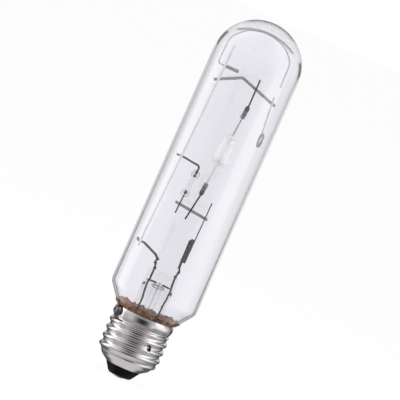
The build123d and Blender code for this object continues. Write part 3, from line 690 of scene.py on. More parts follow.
def leant(points, lean, foot=(0, 0, 0)):
    """Points tipped from upright toward +X by an angle in degrees, then moved to a foot."""
    cosine, sine = np.cos(np.radians(lean)), np.sin(np.radians(lean))
    x, y, z = np.moveaxis(np.asarray(points, float), -1, 0)
    return np.stack([x * cosine + z * sine, y, z * cosine - x * sine], axis=-1) + np.array(foot, float)


arc_axis = leant((0, 0, 1), arc_lean)
arc_radius, arc_bore = 3.5, 2.55
leg_radius, leg_bore, leg_end = 1.25, 0.45, 18.8
cup_radius, cup_edge, cup_start = 0.95, 1.05, 15.1
arc_outside = [
    (cup_edge, -leg_end), (leg_radius, -leg_end), (leg_radius, -7.0), (arc_radius, -4.7),
    (arc_radius, 4.7), (leg_radius, 7.0), (leg_radius, leg_end), (cup_edge, leg_end),
]
arc_inside = [
    (cup_edge, leg_end), (cup_radius, leg_end), (cup_radius, cup_start), (leg_bore, cup_start),
    (leg_bore, 6.5), (arc_bore, 4.2), (arc_bore, -4.2), (leg_bore, -6.5),
    (leg_bore, -cup_start), (cup_radius, -cup_start), (cup_radius, -leg_end), (cup_edge, -leg_end),
]
arc_outer_line = rounded(arc_outside, (0.15, 1.2, 2.2, 2.2, 1.2, 0.15))
arc_inner_line = rounded(arc_inside, (0.05, 0.02, 0.02, 0.8, 1.4, 1.4, 0.8, 0.02, 0.02, 0.05))
alumina_grain = (500, 500, 300)
ceramic_finish, tree, shader = finish(
    "ceramic_finish", IOR=1.15, Transmission_Weight=0.76, Coat_Weight=0.5, Coat_Roughness=0.25
)
mottled(
    tree, shader, alumina_grain, (0.97, 0.967, 0.965), (0.94, 0.937, 0.935), rough=(0.32, 0.45),
    bump=0.1, depth=0.03,
)
lets_lamps_through(tree, shader)
leg_finish, tree, shader = finish("leg_finish", IOR=1.06, Transmission_Weight=0.96)
mottled(tree, shader, alumina_grain, (0.98, 0.975, 0.98), (0.95, 0.945, 0.95), rough=(0.2, 0.3))
lets_lamps_through(tree, shader)
arc_sheet = leant(turned(np.vstack([arc_outer_line, arc_inner_line]), 72), arc_lean, arc_middle)
vessel = fitted("arc_vessel", "arc_tube", "arc_ceramic", ceramic_finish, arc_sheet)
leg_start = 7.3
refinished(vessel, leg_finish, np.abs((faces_of(vessel)[0] - arc_middle) @ arc_axis) > leg_start)

# Frit seals: dark glass melted round the leads in the ends of the legs, standing out as a bead.
# Dysprosia and silica frit, fired in a furnace, almost black with a dull gloss, thinner in the legs.
frit_finish, tree, shader = finish("frit_finish", IOR=1.6)
frit_grain = 1400
dark = mottled(
    tree, shader, frit_grain, (0.03, 0.028, 0.03), (0.01, 0.01, 0.011), rough=(0.25, 0.45),
    bump=0.4, depth=0.05,
)
thin = mottled(tree, shader, frit_grain, (0.16, 0.16, 0.165), (0.1, 0.1, 0.105))
frit_colour = by_height(tree, dark, (85.2, 87.8, thin), (117.4, 120.0, dark))
tree.links.new(frit_colour, shader.inputs["Base Color"])
frit_start, frit_rim, frit_tip, frit_bore, frit_plug = 15.12, 18.82, 20.62, 0.35, 0.93
frit_corners = [
    (0.5, frit_start), (frit_plug, frit_start), (frit_plug, frit_rim), (1.0, frit_rim), (0.96, 19.9),
    (0.7, frit_tip), (frit_bore, frit_tip), (frit_bore, frit_start), (0.5, frit_start),
]
frit_line = rounded(frit_corners, (0.05, 0.05, 0.1, 0.4, 0.12, 0.0, 0.0), 6)
arc_ends = {"upper": 1, "lower": -1}
for place, end in arc_ends.items():
    seal = leant(turned(frit_line * (1, end), 36), arc_lean, arc_middle)
    fitted(f"{place}_frit", f"{place}_frit_seal", "frit", frit_finish, seal)

# Electrodes and feed leads: tungsten rods with a wound coil inside the barrel, and niobium leads outside it.
# Each lead goes through the frit and past the crossbar that it is welded to.
tungsten_finish, tree, shader = finish("tungsten_finish", Metallic=0.3)
tungsten_grain = (1600, 1600, 300)
bright = mottled(
    tree, shader, tungsten_grain, (0.62, 0.615, 0.61), (0.52, 0.515, 0.51), rough=(0.35, 0.55),
    bump=0.2, depth=0.02,
)
dull = mottled(tree, shader, tungsten_grain, (0.2, 0.198, 0.2), (0.14, 0.138, 0.14))
tree.links.new(by_height(tree, bright, (107.0, 112.0, dull)), shader.inputs["Base Color"])
shank_diameter, shank_reach = 0.45, (15.08, 3.5)
coil_diameter, coil_radius, coil_start, coil_length, coil_turns = 0.26, 0.42, 3.7, 1.4, 6
feed_diameter, feed_reach = 0.69, (15.12, 21.26)
feed_ends = {"upper": (4.2, -0.725, 135.1), "lower": (-1.05, -0.725, 70.5)}
winding = np.linspace(0, coil_turns * 2 * np.pi, coil_turns * 18)
coil_rise = coil_start + coil_length * winding / winding[-1]


def on_arc(reach):
    """Point of the arc tube's axis at a distance from its middle."""
    return arc_middle + arc_axis * reach


for place, end in arc_ends.items():
    coil = np.stack([coil_radius * np.cos(winding), coil_radius * np.sin(winding), end * coil_rise], 1)
    shank = drawn([on_arc(end * reach) for reach in shank_reach], shank_diameter, 0, sides=14)
    wound = drawn(leant(coil, arc_lean, arc_middle), coil_diameter, 0, sides=8, across=arc_axis)
    fitted(f"{place}_wound_electrode", f"{place}_electrode", "tungsten", tungsten_finish, shank, wound)
    route = [on_arc(end * reach) for reach in feed_reach] + [feed_ends[place]]
    feed_lead = drawn(route, feed_diameter, 0.8, sides=16)
    fitted(f"{place}_feed_lead", f"{place}_niobium_lead", "dark_wire", wire_finish, feed_lead)

# Ignition capsule: a tiny glass tube with a bead melted round the wire at each end, and its two wires.
# The upper wire hooks behind the frame rod, the lower one is welded to the bar under the arc tube.
capsule_foot, capsule_lean = np.array([-5.42, -0.695, 78.95]), 5.3
capsule_axis = leant((0, 0, 1), capsule_lean)
capsule_ball, capsule_neck, capsule_bore = 1.65, 1.18, 0.75
foot_hole, top_hole = 0.36, 0.4
capsule_corners = [
    (foot_hole, 0.0), (capsule_ball, 0.2), (capsule_ball, 2.2), (capsule_neck, 2.9), (capsule_neck, 8.7),
    (capsule_ball, 9.4), (capsule_ball, 11.4), (top_hole, 11.6), (top_hole, 10.3), (capsule_bore, 10.0),
    (capsule_bore, 1.0), (foot_hole, 0.7), (foot_hole, 0.0),
]
capsule_line = rounded(capsule_corners, (0.9, 0.9, 0.6, 0.6, 0.9, 0.9, 0.05, 0.1, 0.15, 0.15, 0.1), 7)
# Painted shade: the capsule's beads darken to near black toward their slanted rims, and its neck to grey.
ball_stops = [(0.0, 0.97), (0.36, 0.92), (0.5, 0.25), (0.75, 0.02), (1.0, 0.01)]
capsule_finish, tree, shader = glass("capsule_finish", ball_stops, IOR=1.48)
mottled(tree, shader, (700, 700, 500), rough=(0.0, 0.04), bump=0.2, depth=0.08)
capsule_sheet = leant(turned(capsule_line, 48), capsule_lean, capsule_foot)
capsule = fitted("spark_capsule", "enhancer_capsule", "capsule_glass", capsule_finish, capsule_sheet)
tube_stops = [(0.0, (0.95, 0.95, 0.96)), (0.6, (0.88, 0.88, 0.9)), (1.0, (0.6, 0.6, 0.63))]
tube_finish = glass("tube_finish", tube_stops, IOR=1.3, Roughness=0.02)[0]
neck_middle, neck_half = 5.8, 3.2
up_capsule = (faces_of(capsule)[0] - capsule_foot) @ capsule_axis
refinished(capsule, tube_finish, np.abs(up_capsule - neck_middle) < neck_half)
hook_diameter, hook_height, hook_offset = 0.84, 93.9, 0.375
hook_reach, hook_overhang = 1.2, 2.1
hook_y = rod_back + hook_offset
hook_cross = on_rod(hook_height)[0]


def on_capsule(height):
    """Point of the capsule's axis at a height over its foot."""
    return capsule_foot + capsule_axis * height


hook_route = [
    on_capsule(9.8), on_capsule(13.9), (-7.2, -1.9, 93.1),
    (hook_cross + hook_reach, hook_y, hook_height), (hook_cross - hook_overhang, hook_y, hook_height),
]
hook = drawn(hook_route, hook_diameter, (1.4, 2.2, 1.4), sides=16, across=(0.05, 1, 0.05))
hook_tip = bead(hook_route[0], (0.62, 0.62, 0.7))
fitted("capsule_feed", "enhancer_feed_wire", "dark_wire", wire_finish, hook, hook_tip)
earth_diameter = 0.6
earth_route = [on_capsule(1.6), on_capsule(-0.8), (-5.8, -0.695, 71.2)]
earth = drawn(earth_route, earth_diameter, 0.6, sides=16)
earth_tip = bead(earth_route[0], (0.68, 0.68, 0.7))
fitted("capsule_earth", "enhancer_lower_wire", "dark_wire", wire_finish, earth, earth_tip)

# Outer bulb: the clear tubular envelope, sealed over the mount and drawn in to the neck that the cap holds.
# Blown hard glass with a polished look; the crown is thicker than the wall and the bore a little off centre.
bulb_radius, bore_radius, bore_shift = 18.8, 17.85, -0.33
cone_foot, cone_top, shift_end = (13.1, 28.5), (bulb_radius, 36.0), 60.0
dome_height, crown_drop, crown_radius, crown_blend = 139.6, 4.8, 21.0, 2.2
bulb_corners = [
    (flare_radius, flare_top), (flare_radius, 26.8), cone_foot, cone_top,
    (bulb_radius, 41.0), (bulb_radius, dome_height),
]


def inset(line, wall):
    """Line moved to its left by the wall's thickness."""
    run = along(line)
    return line + wall * np.stack([-run[:, 1], run[:, 0]], 1)


shoulder = without_repeats(rounded(bulb_corners, (1.6, 2.6, 5.0, 0), 14))
polar = np.linspace(0, np.pi / 2, 56)[1:]
dome = np.stack([bulb_radius * np.cos(polar), dome_height + bulb_radius * np.sin(polar)], 1)
crown_reach = np.sqrt(crown_radius**2 - (crown_drop * np.cos(polar)) ** 2) - crown_drop * np.sin(polar)
bore_reach = -np.log(np.exp(-crown_blend * bore_radius) + np.exp(-crown_blend * crown_reach)) / crown_blend
bore_dome = np.stack([bore_reach * np.cos(polar), dome_height + bore_reach * np.sin(polar)], 1)
bulb_outside = turned(np.vstack([dome[::-1], shoulder[::-1]]), 256)
bulb_inside = turned(np.vstack([inset(shoulder, bulb_radius - bore_radius), bore_dome]), 256)
bulb_inside[..., 0] += bore_shift * eased(bulb_inside[..., 2], cone_top[1], shift_end)
bulb_finish, tree, shader = finish(
    "bulb_finish", IOR=1.47, Transmission_Weight=1.0, Coat_IOR=1.7, Coat_Roughness=0.0
)
outer_only = reckoned(tree, "SUBTRACT", 1.0, tree.nodes.new("ShaderNodeNewGeometry").outputs["Backfacing"])
gloss = blended(tree, above(tree, 134.0, 146.0), outer_only, 0.0, kind="FLOAT")
tree.links.new(gloss, shader.inputs["Coat Weight"])
# The wall's own colour is a faint lilac tint; the slant ramps on it are painted shade: a dark line near each
# rim of the wall, fainter higher up, black strokes at the shoulder and a dark crown, with paler rims on a
# band of the dome between them.
tinted = (0.868, 0.86, 0.902)
wall_stops = [(0.0, tinted), (0.6, tinted)]
low_tint_and_shade = slant_shade_ramp(tree, wall_stops + [(0.65, 0.35), (0.68, 0.15), (0.74, 0.75), (0.8, 1.0)])
high_tint_and_shade = slant_shade_ramp(tree, wall_stops + [(0.65, 0.78), (0.68, 0.66), (0.74, 0.95), (0.8, 1.0)])
shoulder_tint_and_shade = slant_shade_ramp(tree, wall_stops + [(0.66, 0.12), (0.72, 0.03), (0.8, 0.08), (1.0, 0.7)])
open_tint_and_light = slant_shade_ramp(tree, [(0.0, tinted), (0.7, (0.9, 0.9, 0.93)), (1.0, (0.97, 0.97, 0.98))])
crown_stops = [(0.0, tinted), (0.58, tinted), (0.78, (0.25, 0.24, 0.3)), (1.0, (0.05, 0.048, 0.07))]
tint = by_height(
    tree, low_tint_and_shade, (42.0, 112.0, high_tint_and_shade), (134.0, 143.0, shoulder_tint_and_shade), (147.5, 149.0, open_tint_and_light),
    (154.0, 156.0, slant_shade_ramp(tree, crown_stops)),
)
tree.links.new(tint, shader.inputs["Base Color"])
mottled(tree, shader, (40, 40, 20), rough=(0.0, 0.004), bump=0.02, depth=0.25, Fine=2.0)
lets_lamps_through(tree, shader)
bore_finish, tree, shader = finish("bore_finish", IOR=1.47, Transmission_Weight=1.0, Roughness=0.0)
clear = (0.98, 0.975, 0.99)
# Painted shade: the bore's clear glass darkens toward its slanted rims, near black low on the wall and grey
# higher up. Painted reflection: seen from inside, the crown's bore gets a narrow near-black band at one
# slant, for the line where the wall turns to total reflection.
dark_edge = slant_shade_ramp(tree, [(0.0, clear), (0.8, clear), (0.9, 0.15), (1.0, 0.01)])
pale_edge = slant_shade_ramp(tree, [(0.0, clear), (0.85, clear), (0.93, 0.5), (1.0, 0.2)])
band_stops = [(0.0, clear), (0.22, clear), (0.245, 0.05), (0.3, 0.05), (0.33, clear), (0.95, clear)]
from_inside = tree.nodes.new("ShaderNodeNewGeometry").outputs["Backfacing"]
crown_edge = blended(tree, from_inside, (*clear, 1), slant_shade_ramp(tree, band_stops))
edge_shade = by_height(
    tree, dark_edge, (40.0, 112.0, pale_edge), (144.0, 147.0, (*clear, 1)), (149.4, 150.6, crown_edge)
)
tree.links.new(edge_shade, shader.inputs["Base Color"])
lets_lamps_through(tree, shader)
bulb_sheet = np.concatenate([bulb_outside, bulb_inside])
bulb = fitted("clear_bulb", "outer_bulb", "bulb_glass", bulb_finish, bulb_sheet, sharp=60.0)
middle, normal = faces_of(bulb)
bulb_centre, bulb_squash = (0, 0, 85.0), (1, 1, 0.2)
refinished(bulb, bore_finish, ((middle - bulb_centre) * bulb_squash * normal).sum(1) < 0)

# Screw shell: thin brass sheet rolled to the standard right-hand thread, with a plain skirt above it.
# Nickel plated and bright, with faint rolling streaks, a punch mark in one valley whose dent is painted near
# black as shade, and dull spots.
crest_radius, root_radius = 13.1, 12.13
thread_pitch, crest_at_zero = 25.4 / 7, 8.67
thread_depth = crest_radius - root_radius
thread_arc = ((thread_pitch / 4) ** 2 + (thread_depth / 2) ** 2) / thread_depth
shell_wall, shell_sides, rim_height = 0.3, 240, 27.97
skirt_radius, skirt_bulge, skirt_middle, skirt_half = 12.5, 0.45, 26.0, 1.9
shell_corners = [
    (7.65, 4.9), (10.4, 6.8), (11.45, 8.6), (root_radius, 9.9), (root_radius, 23.3), (skirt_radius, 24.1),
    (skirt_radius, 27.9),
]
punch_angle, punch_height, punch_depth = np.radians(-55.9), 16.6, 0.6
punch_half = (0.75, 1.2)


def thread_rise(angle, height):
    """Height of the rolled thread over its root: an arc at the crest and the same arc at the root, which
    meet halfway up the flank, as a function of the distance to the helix; faded in and out."""
    crest = crest_at_zero + thread_pitch * angle / (2 * np.pi)
    fade = eased(height, 7.4, 9.6) * (1 - eased(height, 22.0, 23.6))
    apart = np.abs((height - crest + thread_pitch / 2) % thread_pitch - thread_pitch / 2)
    nearest = np.minimum(apart, thread_pitch / 2 - apart)
    sag = thread_arc - np.sqrt(thread_arc**2 - nearest**2)
    return fade * np.where(apart < thread_pitch / 4, thread_depth - sag, sag)


def punch_dent(angle, height):
    """Depth of the punch mark: a flat-bottomed oval dent on the sheet."""
    across = root_radius * ((angle - punch_angle + np.pi) % (2 * np.pi) - np.pi)
    oval = (across / punch_half[0]) ** 2 + ((height - punch_height) / punch_half[1]) ** 2
    return punch_depth * np.exp(-(oval**2))


def evenly(line, count):
    """Line through the same places with its points at equal distances."""
    distance = np.r_[0, np.cumsum(np.linalg.norm(np.diff(line, axis=0), axis=1))]
    even = np.linspace(0, distance[-1], count)
    return np.stack([np.interp(even, distance, line[:, column]) for column in range(2)], 1)


shell_line = evenly(rounded(shell_corners, (1.0, 1.6, 1.6, 0.5, 0.5), 7), 240)
shell_line[:, 0] += skirt_bulge * np.clip(1 - ((shell_line[:, 1] - skirt_middle) / skirt_half) ** 2, 0, 1)
rim_line = np.array([[skirt_radius - inward, rim_height] for inward in (0.06, 0.24)])
shell_profile = np.vstack([shell_line, rim_line, inset(shell_line, shell_wall)[::-4], shell_line[:1]])
shell_angle, shell_height = around(shell_sides)[None], shell_profile[:, 1:]
grown = shell_profile[:, :1] + thread_rise(shell_angle, shell_height)
grown -= punch_dent(shell_angle, shell_height)
shell_sheet = turned(shell_profile, shell_sides)
shell_sheet[..., 0] = grown * np.cos(shell_angle)
shell_sheet[..., 1] = grown * np.sin(shell_angle)


def spot_group():
    """Group that gives a mask on Object coordinates, from 1 at a place to 0 at the edge of an ellipsoid."""
    inputs = (("Place", "Vector", (0, 0, 0)), ("Reach", "Vector", (1, 1, 1)))
    group, given, out = group_of("spot", inputs, (("Mask", "Float"),))
    place = group.nodes.new("ShaderNodeTexCoord").outputs["Object"]
    apart = reckoned(group, "SUBTRACT", place, given["Place"], "VectorMath")
    far = group.nodes.new("ShaderNodeVectorMath")
    far.operation = "LENGTH"
    feed(group, far.inputs[0], reckoned(group, "DIVIDE", apart, given["Reach"], "VectorMath"))
    feed(group, out["Mask"], smoothed(group, far.outputs["Value"], 1.0, 0.5))
    return group


spot_mask = spot_group()


def stain_and_shade_spot(tree, colour, place, reach, stain):
    """Colour with a spot of another colour on it, in an ellipsoid given by its middle and half widths in
    millimetres; it paints a stain and, at the punch mark, shade.
    """
    share = placed(tree, spot_mask, Place=np.multiply(place, MM), Reach=np.multiply(reach, MM))["Mask"]
    return blended(tree, share, colour, (*stain, 1))


shell_finish, tree, shader = finish("shell_finish", Metallic=1.0)
plating_and_shade = mottled(
    tree, shader, (160, 160, 420), (0.86, 0.835, 0.845), (0.72, 0.69, 0.695), rough=(0.05, 0.13),
    bump=0.06, depth=0.03, Fine=5.0, Low=0.42, High=0.72,
)
punch_radius, flux_radius, flux_height = 12.6, 12.4, 22.9
punch_place = (punch_radius * np.cos(punch_angle), punch_radius * np.sin(punch_angle), punch_height)
flux_place = flux_radius * outward + (0, 0, flux_height)
# Painted shade: the punch mark's dent is painted near black; the brown spot by the solder is a stain.
plating_and_shade = stain_and_shade_spot(tree, plating_and_shade, punch_place, (1.0, 2.0, 1.3), (0.015, 0.013, 0.015))
plating_and_shade = stain_and_shade_spot(tree, plating_and_shade, flux_place, (2.6, 2.6, 1.5), (0.3, 0.17, 0.13))
tree.links.new(plating_and_shade, shader.inputs["Base Color"])
fitted("screw_shell", "cap_shell", "nickel_shell", shell_finish, shell_sheet, sharp=50.0)

# Insulator and centre contact: a black glass cone cast into the shell's lip, with a tinned disc on its tip.
# The contact's solder drop is pressed flat where it meets the lampholder.
tail_hole, insulator_foot, insulator_top = 0.25, 1.0, 7.6
insulator_corners = [
    (tail_hole, insulator_foot), (5.0, insulator_foot), (7.52, 4.75), (7.56, 5.1), (10.05, 6.95),
    (10.35, insulator_top), (tail_hole, insulator_top), (tail_hole, insulator_foot),
]
insulator_finish = worn(
    "insulator_finish", 300, (0.002, 0.002, 0.002), (0.005, 0.005, 0.005), rough=(0.12, 0.3),
    bump=0.1, depth=0.05, IOR=1.52, Specular_IOR_Level=0.06,
)
insulator = turned(rounded(insulator_corners, (0.7, 0.2, 0.1, 0.3, 0.1, 0.1), 8), 96)
fitted("glass_insulator", "cap_insulator", "black_glass", insulator_finish, insulator)
contact_hole, contact_top, contact_foot = 0.6, 0.98, 0.35
contact_corners = [
    (contact_hole, contact_top), (4.6, contact_top), (4.6, 0.73), (2.6, contact_foot),
    (contact_hole, contact_foot), (contact_hole, contact_top),
]
contact_finish = worn(
    "contact_finish", 700, (0.3, 0.295, 0.29), (0.13, 0.128, 0.125), rough=(0.35, 0.55),
    bump=0.3, depth=0.03, Metallic=1.0,
)
contact = turned(rounded(contact_corners, (0.1, 0.12, 0.3, 0.05), 6), 72)
fitted("contact_disc", "centre_contact", "tinned_contact", contact_finish, contact)
drop_corners = [(0, 0), (1.4, 0), (2.6, 0.33), (0, 0.33)]
solder_finish = worn(
    "solder_finish", 600, (0.24, 0.24, 0.26), (0.06, 0.06, 0.065), rough=(0.16, 0.35),
    bump=0.5, depth=0.12, Metallic=1.0,
)
drop = turned(rounded(drop_corners, (0.4, 0.12), 8), 64)
fitted("contact_solder", "centre_solder", "solder", solder_finish, drop)

# Basing cement: the baked brown ring that holds the neck in the shell, with a crust squeezed up the glass.
# Marble flour and resin, matt and mottled, its top edge uneven where it was pushed out of the rim.


def ripple(angle, waves):
    """Uneven edge: a sum of sines round the ring, each wave given as (number, height, turn)."""
    return sum(height * np.sin(number * angle + turn) for number, height, turn in waves)


crust_waves = ((3, 0.3, 0.4), (7, 0.25, 2.1), (12, 0.2, 4.4), (19, 0.15, 1.0), (31, 0.11, 3.3))
lift_waves = ((5, 0.05, 0.7), (17, 0.04, 2.9))
crust_height, crust_thickness, glass_gap = 29.75, 0.16, 0.05
ring_angle = around(256)
crust = crust_height + ripple(ring_angle, crust_waves)
lift = crust_thickness + ripple(ring_angle, lift_waves)
glass_slope = (cone_top[0] - cone_foot[0]) / (cone_top[1] - cone_foot[1])
crust_radius = cone_foot[0] + (crust - cone_foot[1]) * glass_slope + glass_gap
cement_bore, cement_foot, cement_side = 10.63, 19.5, 11.8
cement_rows = [
    (cement_bore, cement_foot), (cement_bore, 26.9), (13.06, 28.6), (crust_radius - 0.02, crust),
    (crust_radius + lift * 0.6, crust - 0.05), (crust_radius + lift, crust - 0.35), (12.95 + lift, 28.25),
    (skirt_radius, 27.95), (skirt_radius, 24.2), (cement_side, 23.3), (cement_side, cement_foot),
    (cement_bore, cement_foot),
]
cement_points = [
    np.broadcast_arrays(radius * np.cos(ring_angle), radius * np.sin(ring_angle), z)
    for radius, z in cement_rows
]
cement_look = {
    "grain": 520, "rough": (0.75, 0.9), "bump": 0.8, "depth": 0.2,
    "blotches": {"Fine": 5.0, "Low": 0.38, "High": 0.62}, "IOR": 1.5,
}
cement_finish = worn("cement_finish", first=(0.2, 0.105, 0.058), second=(0.045, 0.021, 0.013), **cement_look)
cement_sheet = np.stack(cement_points).transpose(0, 2, 1)
cement = fitted("cement_ring", "basing_cement", "cement", cement_finish, cement_sheet)
# Painted light: the faces turned toward the glass get a brighter, redder copy of the cement than the faces
# turned outward.
brightened_inner_cement = worn("brightened_inner_cement", first=(0.3, 0.1, 0.035), second=(0.08, 0.022, 0.008), **cement_look)
middle, normal = faces_of(cement)
refinished(cement, brightened_inner_cement, (normal[:, :2] * middle[:, :2]).sum(1) < 0)

# Rim solder: the lump of soft solder over the side tail, run on to the skirt and over its rim.
# Dull grey tin and lead with bright facets; its outline is uneven as it froze.
solder_height, solder_radius, solder_swell, solder_sink = 25.75, 2.45, 1.45, 0.1
solder_stretch, solder_seat, solder_dip = 1.25, 12.85, 0.05
solder_power, solder_uneven = 2.4, 0.08
solder_waves = ((2, 0.16, 0.6), (3, 0.12, 2.0), (5, 0.07, 4.0))
share, turn = np.linspace(0, 1, 22)[:, None], around(64)[None]
outline = share * (solder_radius + ripple(turn, solder_waves))
sideways, upward = outline * np.cos(turn) * solder_stretch, outline * np.sin(turn)
skirt = np.interp(solder_height + upward, shell_line[:, 1], shell_line[:, 0])
uneven = 1 + solder_uneven * np.sin(2 * sideways + 1.3 * upward)
swell = solder_swell * np.sqrt(np.clip(1 - share**solder_power, 0, 1)) * uneven - solder_dip
solder_bearing = solder_angle + sideways / solder_seat


def on_skirt(radius):
    """Points of the lump at these radii from the lamp's axis."""
    x, y = radius * np.cos(solder_bearing), radius * np.sin(solder_bearing)
    return np.stack([x, y, solder_height + upward], -1)


solder_sheet = np.concatenate([on_skirt(skirt + swell), on_skirt(skirt - solder_sink)[::-1]])
fitted("rim_solder", "side_solder", "solder", solder_finish, solder_sheet)

# Stage: a pale floor under the contact and a plain surround, which stand for a white studio sweep.
# Both show as white to the lens, in mirrors and through glass, and the floor keeps the lamp's shadow.
floor_half, floor_glow, surround_light = 3.0, 0.94, 0.6
floor_corners = [(x * floor_half, y * floor_half, 0) for x, y in ((-1, -1), (1, -1), (1, 1), (-1, 1))]
floor_mesh = bpy.data.meshes.new("floor")
floor_mesh.from_pydata(floor_corners, [], [(0, 1, 2, 3)])
linked(bpy.data.objects.new("floor", floor_mesh))
floor_finish, tree, shader = finish(
    "floor_finish", Base_Color=(0.97, 0.97, 0.97, 1), Roughness=0.9, Specular_IOR_Level=0.0
)
path = tree.nodes.new("ShaderNodeLightPath").outputs
seen = reckoned(tree, "MAXIMUM", path["Is Camera Ray"], path["Is Glossy Ray"])
seen = reckoned(tree, "MAXIMUM", seen, path["Is Transmission Ray"])
glow = tree.nodes.new("ShaderNodeEmission").outputs["Emission"]
surfaced(tree, reckoned(tree, "MULTIPLY", seen, floor_glow), shader.outputs["BSDF"], glow)
floor_mesh.materials.append(floor_finish)
world = bpy.data.worlds.new("surround")
bpy.context.scene.world = world
world.use_nodes = True
tree = world.node_tree
surround = tree.nodes["Background"]
surround.inputs["Color"].default_value = (1, 1, 1, 1)
path = tree.nodes.new("ShaderNodeLightPath").outputs
undimmed = reckoned(tree, "LESS_THAN", path["Diffuse Depth"], 0.5)
through = reckoned(tree, "MULTIPLY", path["Is Transmission Ray"], undimmed)
seen = reckoned(tree, "MAXIMUM", path["Is Camera Ray"], through)
seen = reckoned(tree, "MAXIMUM", seen, path["Is Glossy Ray"])
tree.links.new(blended(tree, seen, surround_light, 1.0, kind="FLOAT"), surround.inputs["Strength"])

# Light tent: a round tent with a mat that only mirrors see, so polished metal and glass show light and dark.
# It is dark in front of the lens and low at the back, with a pale panel at each side and a grey roof.
tent_radius, tent_foot, tent_top = 160, 0.5, 330
tent_corners = [(0, tent_foot), (tent_radius, tent_foot), (tent_radius, tent_top), (0, tent_top)]
tent = skin("light_tent", turned(evenly(rounded(tent_corners, (5, 60), 12), 260), 180))
tent.visible_camera = False
tent.visible_transmission = False
tent.visible_diffuse = False
tent.visible_shadow = False
level_tones = (
    (-180, 0.2), (-163, 0.08), (-138, 0.1), (-115, 0.6), (-104, 1.4), (-84, 1.4), (-75, 0.6), (-60, 0.55),
    (-46, 0.6), (-36, 0.46), (-27, 0.28), (-18, 0.12), (-9, 0.05), (0, 0.03), (9, 0.05), (18, 0.13),
    (27, 0.33), (36, 0.6), (46, 0.76), (56, 0.95), (66, 1.1), (89, 1.1), (102, 0.8), (118, 0.45),
    (138, 0.1), (163, 0.08), (180, 0.2),
)
slant_tones = (
    (-180, 0.6), (-150, 0.5), (-138, 0.12), (-124, 0.12), (-112, 0.7), (-103, 1.5), (-86, 1.5), (-74, 0.7),
    (-50, 0.6), (-25, 0.36), (0, 0.27), (25, 0.36), (46, 0.65), (57, 1.5), (82, 1.5), (94, 0.65),
    (112, 0.5), (124, 0.12), (138, 0.12), (147, 0.72), (180, 0.72),
)
mat_tones = (
    (-180, 0.08), (-130, 0.1), (-90, 0.45), (-50, 0.4), (0, 0.27), (50, 0.32), (90, 0.36), (130, 0.1),
    (180, 0.08),
)
cap_height = 17.0
place = np.empty(3 * len(tent.data.vertices))
tent.data.vertices.foreach_get("co", place)
toward = place.reshape(-1, 3) / MM - (0, 0, cap_height)
bearing = np.degrees(np.arctan2(toward[:, 0], -toward[:, 1]))
slope = np.degrees(np.arctan2(toward[:, 2], np.hypot(toward[:, 0], toward[:, 1])))
level_tone, slant_tone, mat_tone = (
    np.interp(bearing, *zip(*tones)) for tones in (level_tones, slant_tones, mat_tones)
)


def toned(first, second, share):
    """Tone that goes from the first to the second as the share goes from 0 to 1."""
    return first + (second - first) * share


stripe_slopes, roof_slopes, rear_bearings = (34.5, 36.5), (37.6, 38.6), (120, 150)
stripe_tone, roof_tone = 1.0, 0.15
near_mat_tone, far_mat_tone, mat_bearings, mat_slopes = 0.62, 0.1, (55, 95), (-30, -50)
side_bearings, back_bearings, right_end = (35, 55), (138, 148), (112, 130)
side_lift, back_lift, right_drop = 6, 12, 12
slant_slopes, under_slopes = (14, 28), (-14, -28)
aside = np.abs(bearing)
rear_tone = toned(stripe_tone, roof_tone, eased(slope, *roof_slopes))
slant_tone = toned(slant_tone, rear_tone, eased(aside, *rear_bearings) * eased(slope, *stripe_slopes))
below_tone = toned(near_mat_tone, far_mat_tone, eased(aside, *mat_bearings))
under_tone = toned(mat_tone, below_tone, eased(slope, *mat_slopes))
raised = slope + side_lift * eased(aside, *side_bearings) + back_lift * eased(aside, *back_bearings)
lowered = slope - right_drop * eased(bearing, *side_bearings) * (1 - eased(bearing, *right_end))
tone = toned(level_tone, slant_tone, eased(raised, *slant_slopes))
tone = toned(tone, under_tone, eased(lowered, *under_slopes))
shade = tent.data.color_attributes.new("tone", "FLOAT_COLOR", "POINT")
shade.data.foreach_set("color", np.repeat(tone.astype(np.float32), 4))
tent_finish, tree, shader = finish("tent_finish")
panel, shades = tree.nodes.new("ShaderNodeEmission"), tree.nodes.new("ShaderNodeAttribute")
shades.attribute_name = "tone"
tree.links.new(shades.outputs["Color"], panel.inputs["Color"])
tree.links.new(panel.outputs["Emission"], tree.nodes["Material Output"].inputs["Surface"])
tent.data.materials.append(tent_finish)

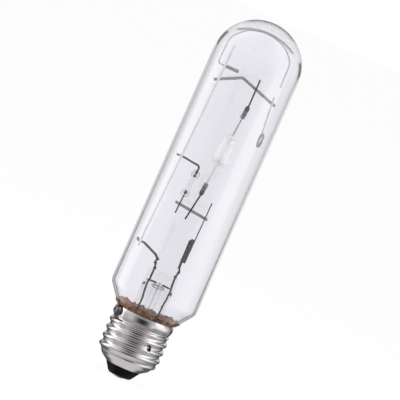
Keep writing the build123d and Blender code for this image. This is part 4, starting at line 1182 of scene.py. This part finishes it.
# Soft boxes: three square lamps at the sides and above the lens, which only light matt surfaces.
# The tent's pale panels stand for them in polished metal and glass.
light_target = Vector((0, 0, 0.08))
soft_boxes = (
    ("left_box", (-0.9, -0.15, 0.25), 0.5, 6.0),
    ("right_box", (0.9, -0.15, 0.25), 0.5, 6.0),
    ("top_box", (0.0, -0.5, 1.1), 0.6, 5.0),
)
for name, stand, size, power in soft_boxes:
    lamp = bpy.data.lights.new(name, "AREA")
    lamp.size = size
    lamp.energy = power
    box = bpy.data.objects.new(name, lamp)
    box.location = stand
    box.rotation_mode = "QUATERNION"
    box.rotation_quaternion = (light_target - box.location).to_track_quat("-Z", "Y")
    box.visible_camera = False
    box.visible_transmission = False
    box.visible_glossy = False
    linked(box)

# Camera: far off with a long lens, a little above the cap's edge, rolled so that the lamp leans right.
# Light may bounce often enough to leave the many glass walls that lie behind each other.
tilt, elevation = np.radians(23.83), np.radians(4.5)
camera_distance, sensor_width, most_bounces = 3.2, 36.0, 128
picture_width, pixels_per_mm = 400, 2.447
frame_width = picture_width / pixels_per_mm * MM
target = Vector((1.328 * MM, 0, 80.08 * MM))
ahead = np.array([0, np.cos(elevation), -np.sin(elevation)])
screen_up, screen_right = np.array([0, np.sin(elevation), np.cos(elevation)]), np.array([1.0, 0, 0])
camera_right = screen_right * np.cos(tilt) + screen_up * np.sin(tilt)
camera_up = screen_up * np.cos(tilt) - screen_right * np.sin(tilt)
lens = bpy.data.cameras.new("camera")
lens.sensor_width = sensor_width
lens.lens = sensor_width * camera_distance / frame_width
lens.clip_start = 0.1
lens.clip_end = 20.0
camera = linked(bpy.data.objects.new("camera", lens))
camera_turn = Matrix((camera_right, camera_up, -ahead)).transposed()
camera.matrix_world = Matrix.Translation(target - Vector(ahead) * camera_distance) @ camera_turn.to_4x4()
bpy.context.scene.camera = camera
bpy.context.scene.view_settings.view_transform = "Standard"
light_paths = bpy.context.scene.cycles
light_paths.max_bounces = most_bounces
light_paths.glossy_bounces = most_bounces
light_paths.transmission_bounces = most_bounces
